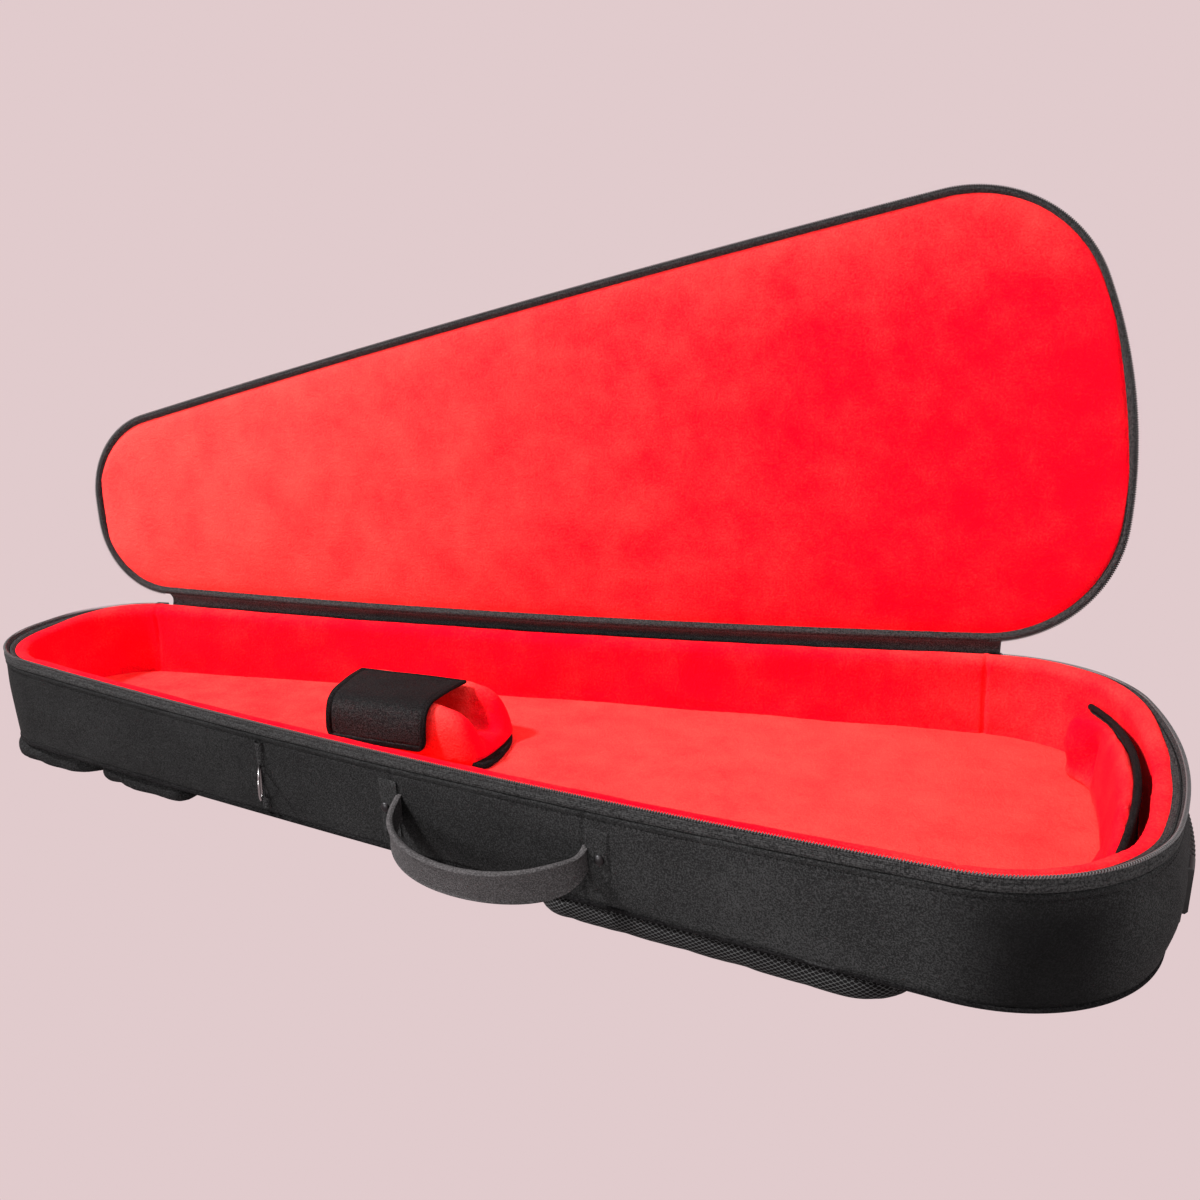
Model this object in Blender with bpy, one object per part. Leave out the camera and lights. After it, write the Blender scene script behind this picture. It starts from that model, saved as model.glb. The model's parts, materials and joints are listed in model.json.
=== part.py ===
"""Padded guitar gig bag, lying open on its back, as separate pieces.

Metres, +Z up. X runs along the bag towards its wide end and the lid hinges on the +Y side. Pieces
are drawn from the centre of the back panel's outer face, then all of them are moved together so
that the origin is the centre of the lumbar pad's lower face, which the bag rests on. Lid pieces
are drawn closed and are turned open by the empty on the hinge line.
"""
import math

import bmesh
import bpy
import numpy as np
from mathutils import Matrix, Vector

# Plan outline: two long bulged sides, two end arcs and four corner arcs, all tangent.
LENGTH = 1.100
HALF_WIDTH_NARROW = 0.0905
HALF_WIDTH_WIDE = 0.2232
SIDE_BULGE = 0.0074
END_RADIUS_NARROW = 0.644
END_RADIUS_WIDE = 0.487
CORNER_RADIUS_NARROW = 0.0914
CORNER_RADIUS_WIDE = 0.125
END_STEPS = 3
BUMPER_STEPS = 17
CORNER_STEPS = 7
SIDE_STEPS = 8

# Heights of the base: the rim is lower in the middle of the length than at the ends.
RIM_HEIGHT = 0.0968
RIM_SAG = 0.0110
WALL_DRAFT = 0.0059
PANEL_THICK = 0.0020
SKIN_THICK = 0.0012
LINING_THICK = 0.0016
GAP = 0.0003
PIPING_RADIUS = 0.0020
BAND_WIDTH = 0.0170
COIL_WIDTH = 0.0022
COIL_HEIGHT = 0.0019
COIL_DROP = 0.0010
COIL_PROUD = 0.0002
FOAM_INSET = 0.0016
WALL_THICK = 0.0205
FLOOR_FOAM_TOP = 0.0190
FLOOR_LINING_THICK = 0.0020

# Lid, drawn closed on the rim.
LID_DEPTH = 0.0260
LID_CLEARANCE = 0.0006
LID_FLARE = 0.0042
LID_CROWN = 0.0045
OPEN_ANGLE = math.radians(94.8)
HINGE_INSET = 0.0025
HINGE_RISE = 0.0063
GUSSET_REACH = 0.0160
GUSSET_THICK = 0.0012

# Front pocket on the lid.
POCKET_MARGIN = 0.034
POCKET_DEPTH = 0.0060
POCKET_START_X = -0.090

# Carry handle on the near wall.
HANDLE_LEFT_X = -0.0160
HANDLE_RIGHT_X = 0.1540
HANDLE_HEIGHT = 0.0450
HANDLE_WIDTH = 0.0290
HANDLE_THICK = 0.0050
HANDLE_REACH = 0.0420
HANDLE_DROOP = math.radians(24.0)
HANDLE_STAND = 0.0100
ANCHOR_LENGTH = 0.0160
ANCHOR_STUB = 0.0040
ANCHOR_THICK = 0.0020
RIVET_RADIUS = 0.0048

# Side ring for a shoulder strap.
RING_X = -0.1550
RING_HEIGHT = 0.0340
RING_BAR = 0.0240
RING_BOW = 0.0140
RING_WIRE = 0.0013
RING_SWING = math.radians(41.0)
RING_TAB_WIDTH = 0.0120
RING_TAB_THICK = 0.0016
RING_TAB_BOTTOM = 0.0080

# Neck cradle and its strap.
CRADLE_LEFT = -0.1620
CRADLE_RIGHT = -0.0060
CRADLE_HALF_WIDTH = 0.0420
CRADLE_HEIGHT = 0.0500
CRADLE_MAT_THICK = 0.0045
CHANNEL_HALF_WIDTH = 0.0230
CHANNEL_DEPTH = 0.0340
STRAP_LEFT = -0.1560
STRAP_RIGHT = -0.0560
STRAP_THICK = 0.0026
STRAP_DROP = 0.0430
STRAP_BINDING = 0.0015

# Crescent pad at the wide end.
BUMPER_HEIGHT = 0.0620
BUMPER_HALF_SPAN = 0.1450
BUMPER_THICK = 0.0200
BUMPER_LEAN = 0.0170
BUMPER_BACK_THICK = 0.0022
BUMPER_WALL_GAP = 0.0075
BUMPER_CROWN = 0.0016
BUMPER_BINDING = 0.0018

# Rubber guard outside the wide end, and the pads under the back panel.
GUARD_HALF_SPAN = 0.0950
GUARD_BOTTOM = 0.0180
GUARD_TOP = 0.0520
GUARD_THICK = 0.0080
GUARD_RIBS = 9
GUARD_RIB_DEPTH = 0.0030
PAD_DEPTH = 0.0200
LUMBAR_INSET = 0.0160
YOKE_INSET = 0.0045
COVER_INSET = 0.0075
LUMBAR_LEFT = 0.1120
LUMBAR_RIGHT = 0.3600
PAD_BULGE = 0.0015
YOKE_MARGIN = 0.0150
YOKE_LENGTH = 0.1540
COVER_GAP = 0.0300
COVER_LENGTH = 0.0860
COVER_DEPTH = 0.0180
HARNESS_GAP = 0.0015
HARNESS_LENGTH = 0.3000
HARNESS_SPREAD = 0.0450
HARNESS_BOW = 0.0220
HARNESS_HALF_WIDTH = 0.0340
HARNESS_TAPER = 0.0080
HARNESS_THICK = 0.0082
BUCKLE_LENGTH = 0.0320
BUCKLE_WIDTH = 0.0300
BUCKLE_THICK = 0.0060
WEBBING_LENGTH = 0.0255
WEBBING_WIDTH = 0.0250
WEBBING_THICK = 0.0016

# Zip sliders and their pulls.
SLIDER_LENGTH = 0.0130
SLIDER_PLATE = 0.0014
SLIDER_HEIGHT = 0.0100
SLIDER_OUTSET = 0.0007
SLIDER_LIP = 0.0028
SLIDER_LIP_THICK = 0.0006
PULL_LENGTH = 0.0260
PULL_WIDTH = 0.0070
PULL_THICK = 0.0016

COLLECTION = "guitar_gig_bag"
NYLON = ("nylon", (0.022, 0.021, 0.022), 0.80, 0.0)
TAPE = ("zip_tape", (0.030, 0.028, 0.029), 0.85, 0.0)
COIL = ("zip_coil", (0.020, 0.019, 0.019), 0.45, 0.0)
PLUSH = ("red_plush", (0.860, 0.010, 0.012), 0.95, 0.0)
FOAM = ("foam", (0.360, 0.350, 0.340), 0.95, 0.0)
MESH = ("air_mesh", (0.018, 0.018, 0.018), 0.90, 0.0)
RUBBER = ("rubber", (0.025, 0.025, 0.025), 0.60, 0.0)
STEEL = ("ring_steel", (0.560, 0.560, 0.560), 0.30, 1.0)
DARK_METAL = ("dark_metal", (0.060, 0.060, 0.062), 0.40, 1.0)


def clear_scene():
    for found in list(bpy.data.objects):
        bpy.data.objects.remove(found, do_unlink=True)


def make_collection():
    group = bpy.data.collections.new(COLLECTION)
    bpy.context.scene.collection.children.link(group)
    return group


def circle_crossing(centre_a, radius_a, centre_b, radius_b, outward):
    """Where two circles cross, taking the crossing farther along X in the outward sense."""
    step = centre_b - centre_a
    distance = np.hypot(*step)
    along = (radius_a ** 2 - radius_b ** 2 + distance ** 2) / (2 * distance)
    across = math.sqrt(max(radius_a ** 2 - along ** 2, 0.0))
    unit = step / distance
    normal = np.array([-unit[1], unit[0]])
    points = [centre_a + along * unit + side * across * normal for side in (1, -1)]
    return max(points, key=lambda point: outward * point[0])


def side_circle():
    """Centre and radius of the bulged long side on the +Y half."""
    start = np.array([-LENGTH / 2, HALF_WIDTH_NARROW])
    chord = np.array([LENGTH / 2, HALF_WIDTH_WIDE]) - start
    span = np.hypot(*chord)
    radius = span ** 2 / (8 * SIDE_BULGE) + SIDE_BULGE / 2
    normal = np.array([-chord[1], chord[0]]) / span
    return start + chord / 2 - normal * (radius - SIDE_BULGE), radius


def plan_stations():
    """Round the outline from the wide end, anticlockwise: (centre x, centre y, radius, angle)."""
    side_centre, side_radius = side_circle()
    ends = {}
    for outward, end_radius, corner_radius in (
        (1, END_RADIUS_WIDE, CORNER_RADIUS_WIDE),
        (-1, END_RADIUS_NARROW, CORNER_RADIUS_NARROW),
    ):
        end_centre = np.array([outward * (LENGTH / 2 - end_radius), 0.0])
        corner = circle_crossing(
            end_centre, end_radius - corner_radius, side_centre, side_radius - corner_radius, outward
        )
        to_end = math.atan2(*(corner - end_centre)[::-1])
        to_side = math.atan2(*(corner - side_centre)[::-1])
        ends[outward] = (end_centre, end_radius, corner, corner_radius, to_end, to_side)
    end_w, radius_w, corner_w, fillet_w, angle_we, angle_ws = ends[1]
    end_n, radius_n, corner_n, fillet_n, angle_ne, angle_ns = ends[-1]
    arcs = (
        (end_w, radius_w, 0.0, angle_we, END_STEPS),
        (corner_w, fillet_w, angle_we, angle_ws, CORNER_STEPS),
        (side_centre, side_radius, angle_ws, angle_ns, SIDE_STEPS),
        (corner_n, fillet_n, angle_ns, angle_ne, CORNER_STEPS),
        (end_n, radius_n, angle_ne, math.pi, END_STEPS),
    )
    half = [(end_w[0], end_w[1], radius_w, 0.0)]
    for centre, radius, first, last, steps in arcs:
        for angle in np.linspace(first, last, steps + 1)[1:]:
            half.append((centre[0], centre[1], radius, angle))
    mirrored = [(x, -y, radius, -angle) for x, y, radius, angle in half[-2:0:-1]]
    return half + mirrored, corner_w, corner_n


STATIONS, CORNER_WIDE, CORNER_NARROW = plan_stations()
COUNT = len(STATIONS)
HINGE_FIRST = END_STEPS + CORNER_STEPS
HINGE_LAST = HINGE_FIRST + SIDE_STEPS
HINGE_SPAN = list(range(HINGE_FIRST, HINGE_LAST + 1))
ZIP_SPAN = [index % COUNT for index in range(HINGE_LAST, COUNT + HINGE_FIRST + 1)]
HINGE_SLOPE = (HALF_WIDTH_WIDE - HALF_WIDTH_NARROW) / LENGTH
HINGE_AXIS = Vector((1.0, HINGE_SLOPE, 0.0)).normalized()
HINGE_POINT = Vector((
    0.0,
    (HALF_WIDTH_NARROW + HALF_WIDTH_WIDE) / 2 + SIDE_BULGE - HINGE_INSET,
    RIM_HEIGHT + HINGE_RISE,
))
LID_TOP = RIM_HEIGHT + LID_DEPTH
WALL_START = 2 * PIPING_RADIUS + 2 * GAP


def rim(x):
    """Height of the rim plane at x."""
    return RIM_HEIGHT - RIM_SAG * (1 - (2 * x / LENGTH) ** 2)


def above_rim(offset):
    return lambda x: rim(x) + offset


def flat(height):
    return lambda x: height


def draft(height):
    """How far the outer wall leans in at a height, compared with its rim."""
    return WALL_DRAFT * (1 - height / RIM_HEIGHT)


def plan_point(index, inset):
    centre_x, centre_y, radius, angle = STATIONS[index % COUNT]
    reach = radius - inset
    return centre_x + reach * math.cos(angle), centre_y + reach * math.sin(angle)


def ring_points(inset, height, span=None):
    indices = range(COUNT) if span is None else span
    points = []
    for index in indices:
        x, y = plan_point(index, inset)
        points.append(Vector((x, y, height(x))))
    return points


def wall_inset(x, height):
    """Inset of the outer wall, which runs straight from the piping up to the band's seam."""
    share = (height - WALL_START) / (rim(x) - BAND_WIDTH - WALL_START)
    return draft(WALL_START) + share * (draft(RIM_HEIGHT - BAND_WIDTH) - draft(WALL_START))


def near_wall(x, height):
    """Point on the near outer wall, with its outward normal, and its directions along and up."""
    centre, radius = side_circle()
    reach = radius - wall_inset(x, height)
    y = centre[1] + math.sqrt(reach ** 2 - (x - centre[0]) ** 2)
    out = Vector((x - centre[0], -(y - centre[1]), 0.0)).normalized()
    along = Vector((-out.y, out.x, 0.0))
    if along.x < 0:
        along.negate()
    lean = wall_inset(x, height) - wall_inset(x, height + 0.010)
    up = (out * lean + Vector((0.0, 0.0, 0.010))).normalized()
    normal = along.cross(up)
    if normal.dot(out) < 0:
        normal.negate()
    return Vector((x, -y, height)), normal, along, up


def material(spec):
    name, colour, roughness, metallic = spec
    found = bpy.data.materials.get(name)
    if found:
        return found
    made = bpy.data.materials.new(name)
    made.use_nodes = True
    shader = made.node_tree.nodes["Principled BSDF"]
    shader.inputs["Base Color"].default_value = (*colour, 1.0)
    shader.inputs["Roughness"].default_value = roughness
    shader.inputs["Metallic"].default_value = metallic
    made.diffuse_color = (*colour, 1.0)
    return made


def own_material(name, spec):
    """Each sub-part has its own copy of its finish."""
    return material((f"{name}_{spec[0]}", *spec[1:]))


def pivot(name, point, turn=None):
    """An empty on a joint; what hangs on it is drawn where it lies before the empty turns."""
    empty = bpy.data.objects.new(name, None)
    GROUP.objects.link(empty)
    empty.location = point
    if turn is not None:
        empty.rotation_mode = "QUATERNION"
        empty.rotation_quaternion = turn.to_quaternion()
    return empty


def place(obj, spec, parent=None):
    """Link an object, give it its finish and hang it on its joint's empty."""
    obj.data.materials.append(own_material(obj.name, spec))
    GROUP.objects.link(obj)
    if parent is not None:
        shift = Matrix.Translation(-parent.location)
        obj.data.transform(shift)
        obj.parent = parent
    return obj


def mesh_object(name, bm, spec, parent=None, smooth_angle=None):
    bmesh.ops.recalc_face_normals(bm, faces=bm.faces)
    mesh = bpy.data.meshes.new(name)
    bm.to_mesh(mesh)
    bm.free()
    if smooth_angle is not None:
        mesh.shade_smooth()
        mesh.set_sharp_from_angle(angle=math.radians(smooth_angle))
    return place(bpy.data.objects.new(name, mesh), spec, parent)


def loft(name, sections, spec, closed=False, parent=None, smooth_angle=40):
    """Solid through equal closed sections, capped at both ends unless it closes on itself."""
    bm = bmesh.new()
    rows = [[bm.verts.new(point) for point in section] for section in sections]
    size = len(sections[0])
    for index in range(len(rows) if closed else len(rows) - 1):
        row = rows[index]
        after = rows[(index + 1) % len(rows)]
        for j in range(size):
            k = (j + 1) % size
            bm.faces.new((row[j], row[k], after[k], after[j]))
    if not closed:
        bm.faces.new(rows[0])
        bm.faces.new(rows[-1])
    return mesh_object(name, bm, spec, parent, smooth_angle)


def sweep(name, section, spec, span=None, parent=None):
    """Carry a closed section of (inset, height) round the outline, or along part of it."""
    rings = [ring_points(inset, height, span) for inset, height in section]
    sections = [list(points) for points in zip(*rings)]
    return loft(name, sections, spec, closed=span is None, parent=parent)


def dish(name, lower, upper, spec, parent=None):
    """Solid slab between two nests of rings, each nest closed by strips across the bag."""
    bm = bmesh.new()
    nests = []
    for nest in (lower, upper):
        rows = [[bm.verts.new(point) for point in ring_points(*ring)] for ring in nest]
        for row, after in zip(rows, rows[1:]):
            for j in range(COUNT):
                k = (j + 1) % COUNT
                bm.faces.new((row[j], row[k], after[k], after[j]))
        inner = rows[-1]
        for j in range(COUNT // 2):
            strip = [inner[j], inner[j + 1], inner[(COUNT - j - 1) % COUNT], inner[(COUNT - j) % COUNT]]
            bm.faces.new(list(dict.fromkeys(strip)))
        nests.append(rows)
    outer_low = nests[0][0]
    outer_high = nests[1][0]
    for j in range(COUNT):
        k = (j + 1) % COUNT
        bm.faces.new((outer_low[j], outer_low[k], outer_high[k], outer_high[j]))
    return mesh_object(name, bm, spec, parent, 40)


def plate(name, outline, low, high, spec, parent=None):
    """Flat outline filled as a 2D curve and extruded between two heights."""
    curve = bpy.data.curves.new(name, "CURVE")
    curve.dimensions = "2D"
    curve.fill_mode = "BOTH"
    curve.extrude = (high - low) / 2
    spline = curve.splines.new("POLY")
    spline.points.add(len(outline) - 1)
    for point, (x, y) in zip(spline.points, outline):
        point.co = (x, y, 0.0, 1.0)
    spline.use_cyclic_u = True
    middle = (low + high) / 2
    obj = bpy.data.objects.new(name, curve)
    if parent is None:
        obj.location = (0.0, 0.0, middle)
        return place(obj, spec)
    obj.data.materials.append(own_material(name, spec))
    GROUP.objects.link(obj)
    obj.location = Vector((0.0, 0.0, middle)) - parent.location
    obj.parent = parent
    return obj


def bag_plate(name, inset, low, high, spec, parent=None):
    outline = [plan_point(index, inset) for index in range(COUNT)]
    return plate(name, outline, low, high, spec, parent)


def tube(name, points, radius, spec, parent=None, cyclic=False, resolution=1):
    """Round cord, wire or piping along points, with filled caps."""
    curve = bpy.data.curves.new(name, "CURVE")
    curve.dimensions = "3D"
    curve.bevel_depth = radius
    curve.bevel_resolution = resolution
    curve.use_fill_caps = True
    spline = curve.splines.new("POLY")
    spline.points.add(len(points) - 1)
    for point, co in zip(spline.points, points):
        point.co = (*co, 1.0)
    spline.use_cyclic_u = cyclic
    return place(bpy.data.objects.new(name, curve), spec, parent)


def block(name, size, centre, spec, parent=None, frame=None, bevel=0.0, segments=2, taper=1.0):
    """Box with rounded edges. frame turns it; taper narrows its top."""
    bm = bmesh.new()
    bmesh.ops.create_cube(bm, size=1.0)
    for vert in bm.verts:
        narrow = taper if vert.co.z > 0 else 1.0
        vert.co = Vector((
            vert.co.x * size[0] * narrow,
            vert.co.y * size[1] * narrow,
            vert.co.z * size[2],
        ))
    if bevel:
        bmesh.ops.bevel(
            bm, geom=bm.edges[:], offset=bevel, segments=segments, profile=0.5, affect="EDGES"
        )
    turn = frame if frame is not None else Matrix.Identity(4)
    bmesh.ops.transform(bm, matrix=Matrix.Translation(centre) @ turn, verts=bm.verts)
    return mesh_object(name, bm, spec, parent, 50)


def frame_of(x_axis, y_axis, z_axis):
    """Turning matrix whose columns are the three axes."""
    turn = Matrix((x_axis, y_axis, z_axis)).transposed()
    return turn.to_4x4()


def build_base_shell():
    """Back panel, outer wall, zip band, coil and the piping between wall and back."""
    seam = above_rim(-BAND_WIDTH)
    seam_above = above_rim(-BAND_WIDTH + GAP)
    band_top = above_rim(-COIL_DROP - COIL_HEIGHT - GAP)
    seam_inset = draft(RIM_HEIGHT - BAND_WIDTH)
    start_inset = draft(WALL_START)
    bag_plate("back_panel", WALL_DRAFT + 2 * PIPING_RADIUS + GAP, 0.0, PANEL_THICK, NYLON)
    piping = ring_points(WALL_DRAFT + PIPING_RADIUS, flat(PIPING_RADIUS + GAP))
    tube("bottom_piping", piping, PIPING_RADIUS, NYLON, cyclic=True)
    sweep("side_panel", [
        (start_inset, flat(WALL_START)),
        (seam_inset, seam),
        (seam_inset + SKIN_THICK, seam),
        (start_inset + SKIN_THICK, flat(WALL_START)),
    ], NYLON)
    sweep("rim_band", [
        (seam_inset, seam_above),
        (0.0, band_top),
        (SKIN_THICK, band_top),
        (seam_inset + SKIN_THICK, seam_above),
    ], TAPE)
    coil_low = above_rim(-COIL_DROP - COIL_HEIGHT)
    coil_high = above_rim(-COIL_DROP)
    sweep("base_zip_coil", [
        (-COIL_PROUD, coil_low),
        (-COIL_PROUD, coil_high),
        (COIL_WIDTH - COIL_PROUD, coil_high),
        (COIL_WIDTH - COIL_PROUD, coil_low),
    ], COIL, span=ZIP_SPAN)


def build_base_padding():
    """Foam inside the walls and floor, and the plush that rolls over the rim."""
    shoulder = FOAM_INSET + 0.0042
    crest = WALL_THICK - 0.0075
    sweep("wall_foam", [
        (draft(WALL_START) + FOAM_INSET, flat(WALL_START)),
        (FOAM_INSET + draft(RIM_HEIGHT - 0.0150), above_rim(-0.0150)),
        (shoulder, above_rim(-0.0125)),
        (shoulder + 0.0028, above_rim(-0.0048)),
        (crest, above_rim(-0.0025)),
        (WALL_THICK - 0.0030, above_rim(-0.0055)),
        (WALL_THICK, above_rim(-0.0108)),
        (WALL_THICK, flat(WALL_START)),
    ], FOAM)
    inner = WALL_THICK + GAP
    face = inner + LINING_THICK
    start = flat(FLOOR_FOAM_TOP + GAP)
    sweep("wall_lining", [
        (face, start),
        (face, above_rim(-0.0098)),
        (face - 0.0038, above_rim(-0.0034)),
        (crest, above_rim(-0.0004)),
        (shoulder + 0.0016, above_rim(-0.0030)),
        (shoulder - 0.0020, above_rim(-0.0120)),
        (shoulder - 0.0004, above_rim(-0.0120)),
        (shoulder + 0.0023, above_rim(-0.0043)),
        (crest, above_rim(-0.0020)),
        (WALL_THICK - 0.0027, above_rim(-0.0050)),
        (inner, above_rim(-0.0106)),
        (inner, start),
    ], PLUSH)
    bag_plate("floor_foam", WALL_THICK + GAP, PANEL_THICK + GAP, FLOOR_FOAM_TOP, FOAM)
    lining_low = FLOOR_FOAM_TOP + GAP
    bag_plate("floor_lining", face + GAP, lining_low, lining_low + FLOOR_LINING_THICK, PLUSH)


def build_lid(lid):
    """Lid shell, its zip band and coil, foam, crowned plush and front pocket, all drawn closed."""
    band_low = above_rim(LID_CLEARANCE)
    band_high = above_rim(LID_CLEARANCE + SKIN_THICK)
    coil_depth = COIL_WIDTH * 0.8
    sweep("lid_band", [
        (coil_depth + GAP - LID_FLARE, band_low),
        (coil_depth + GAP - LID_FLARE, band_high),
        (0.0080, band_high),
        (0.0080, band_low),
    ], TAPE, parent=lid)
    sweep("lid_zip_coil", [
        (-LID_FLARE, band_low),
        (-LID_FLARE, above_rim(LID_CLEARANCE + COIL_HEIGHT)),
        (coil_depth - LID_FLARE, above_rim(LID_CLEARANCE + COIL_HEIGHT)),
        (coil_depth - LID_FLARE, band_low),
    ], COIL, span=ZIP_SPAN, parent=lid)
    wall_low = above_rim(LID_CLEARANCE + SKIN_THICK + GAP)
    wall_high = flat(LID_TOP - 2 * PIPING_RADIUS - 2 * GAP)
    sweep("lid_side_panel", [
        (0.0, wall_low),
        (0.0, wall_high),
        (SKIN_THICK, wall_high),
        (SKIN_THICK, wall_low),
    ], NYLON, parent=lid)
    piping = ring_points(PIPING_RADIUS, flat(LID_TOP - PIPING_RADIUS - GAP))
    tube("lid_piping", piping, PIPING_RADIUS, NYLON, parent=lid, cyclic=True)
    bag_plate(
        "lid_front_panel", 2 * PIPING_RADIUS + GAP, LID_TOP - PANEL_THICK, LID_TOP, NYLON, parent=lid
    )
    under = LID_CLEARANCE + SKIN_THICK + GAP + 0.0008
    dish("lid_foam", [
        (FOAM_INSET, above_rim(under)),
        (0.0240, above_rim(under)),
        (0.0420, above_rim(under - 0.0020)),
        (0.0800, above_rim(under - LID_CROWN)),
    ], [
        (FOAM_INSET, flat(LID_TOP - 0.0052)),
        (0.0054, flat(LID_TOP - PANEL_THICK - GAP)),
    ], FOAM, parent=lid)
    face = LID_CLEARANCE + 0.0004
    back = under - GAP
    dish("lid_lining", [
        (0.0085, above_rim(face)),
        (0.0240, above_rim(face)),
        (0.0420, above_rim(face - 0.0020)),
        (0.0800, above_rim(face - LID_CROWN)),
    ], [
        (0.0085, above_rim(back)),
        (0.0240, above_rim(back)),
        (0.0420, above_rim(back - 0.0020)),
        (0.0800, above_rim(back - LID_CROWN)),
    ], PLUSH, parent=lid)


def build_pocket(lid):
    """Accessory pocket on the lid's outside: panel, its zip, slider and pull."""
    base = LID_TOP + GAP
    outline = [plan_point(index, POCKET_MARGIN) for index in range(COUNT)]
    inside = [(x, y) for x, y in outline if x > POCKET_START_X]
    start_half = abs(min(inside, key=lambda point: point[0])[1])
    top_edge = [(POCKET_START_X, start_half), (POCKET_START_X, -start_half)]
    split = next(i for i, (x, y) in enumerate(inside) if y < 0 and inside[i - 1][1] > 0 and x < 0.3)
    ordered = inside[:split] + top_edge + inside[split:]
    centre = Vector((sum(p[0] for p in ordered), sum(p[1] for p in ordered), 0.0)) / len(ordered)
    levels = ((0.0, 0.0), (0.0, 0.30), (0.003, 0.75), (0.012, 1.0))
    sections = []
    for pull_in, rise in levels:
        ring = []
        for x, y in ordered:
            flat_point = Vector((x, y, 0.0))
            inward = (centre - flat_point).normalized() * pull_in
            ring.append(flat_point + inward + Vector((0.0, 0.0, base + rise * POCKET_DEPTH)))
        sections.append(ring)
    loft("front_pocket", sections, NYLON, parent=lid)
    zip_z = base + POCKET_DEPTH + GAP
    zip_x = POCKET_START_X + 0.040
    zip_half = start_half - 0.006
    block(
        "pocket_zip_coil", (0.0050, 2 * zip_half, 0.0016), Vector((zip_x, 0.0, zip_z + 0.0008)),
        COIL, parent=lid,
    )
    slider_y = -zip_half + 0.014
    slider_z = zip_z + 0.0016 + GAP
    block(
        "pocket_slider", (0.0080, 0.0120, 0.0026), Vector((zip_x, slider_y, slider_z + 0.0013)),
        DARK_METAL, parent=lid, bevel=0.0008, segments=1,
    )
    pull_point = Vector((zip_x, slider_y - 0.0020, slider_z + 0.0026 + GAP + PULL_THICK / 2))
    plumb = Matrix.Rotation(OPEN_ANGLE - math.pi / 2, 3, "X")
    drop = plumb @ Vector((0.0, PULL_LENGTH / 2 - 0.001, 0.0))
    block(
        "pocket_pull", (PULL_WIDTH - 0.001, PULL_LENGTH, PULL_THICK), pull_point + drop,
        DARK_METAL, parent=lid, frame=plumb.to_4x4(), bevel=0.0004, segments=1,
    )
    mark = pivot("pocket_pull_axis", pull_point - lid.location)
    mark.parent = lid


def build_hinge():
    """Fabric gusset from the top of the rim band, on the hinge side, up to the open lid's wall."""
    turn = Matrix.Rotation(-OPEN_ANGLE, 3, HINGE_AXIS)
    edge = above_rim(-COIL_DROP - COIL_HEIGHT)
    low = ring_points(-GAP, edge, HINGE_SPAN)
    closed = ring_points(-GAP, above_rim(GUSSET_REACH), HINGE_SPAN)
    outward = Vector((0.0, GUSSET_THICK, 0.0))
    sections = []
    for wall_point, lid_point in zip(low, closed):
        lid_edge = HINGE_POINT + turn @ (lid_point - HINGE_POINT)
        sections.append([wall_point, lid_edge, lid_edge + outward, wall_point + outward])
    bm = bmesh.new()
    rows = [[bm.verts.new(point) for point in section] for section in sections]
    for row, after in zip(rows, rows[1:]):
        bm.faces.new((row[0], row[1], after[1]))
        bm.faces.new((row[0], after[1], after[0]))
        bm.faces.new((row[3], after[2], row[2]))
        bm.faces.new((row[3], after[3], after[2]))
        bm.faces.new((row[1], row[2], after[2], after[1]))
        bm.faces.new((row[3], row[0], after[0], after[3]))
    bm.faces.new(rows[0])
    bm.faces.new(rows[-1])
    mesh_object("hinge_gusset", bm, NYLON, smooth_angle=40)


def build_anchor(label, point, normal, along, up, outside):
    """One end fitting of the handle: a stitched patch with the standing end that the grip meets.

    The domed rivet sits on the patch, outboard of the standing end.
    """
    bm = bmesh.new()
    outline = (
        (GAP, GAP), (GAP, HANDLE_STAND + HANDLE_THICK / 2), (GAP + ANCHOR_STUB, HANDLE_STAND),
        (GAP + ANCHOR_STUB, GAP + ANCHOR_THICK), (GAP + ANCHOR_LENGTH, GAP + ANCHOR_THICK),
        (GAP + ANCHOR_LENGTH, GAP),
    )
    tall = HANDLE_WIDTH / 2
    rows = []
    for side in (-1, 1):
        row = []
        for reach, out in outline:
            spot = point + along * outside * reach + normal * out + up * side * tall
            row.append(bm.verts.new(spot))
        rows.append(row)
    bm.faces.new(rows[0])
    bm.faces.new(rows[1])
    for j in range(len(outline)):
        k = (j + 1) % len(outline)
        bm.faces.new((rows[0][j], rows[0][k], rows[1][k], rows[1][j]))
    mesh_object(f"handle_anchor_{label}", bm, NYLON, smooth_angle=30)
    bm = bmesh.new()
    bmesh.ops.create_uvsphere(bm, u_segments=12, v_segments=8, radius=RIVET_RADIUS)
    cut = bmesh.ops.bisect_plane(
        bm, geom=bm.verts[:] + bm.edges[:] + bm.faces[:], plane_co=(0, 0, 0),
        plane_no=(0, 0, -1), clear_outer=True,
    )
    rim_edges = [item for item in cut["geom_cut"] if isinstance(item, bmesh.types.BMEdge)]
    bmesh.ops.edgeloop_fill(bm, edges=rim_edges)
    for vert in bm.verts:
        vert.co.z *= 0.5
    seat = point + along * outside * (ANCHOR_STUB + RIVET_RADIUS + 0.0013)
    seat += normal * (ANCHOR_THICK + 2 * GAP) - up * 0.005
    turn = frame_of(along, normal.cross(along), normal)
    bmesh.ops.transform(bm, matrix=Matrix.Translation(seat) @ turn, verts=bm.verts)
    mesh_object(f"handle_rivet_{label}", bm, DARK_METAL, smooth_angle=60)


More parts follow.
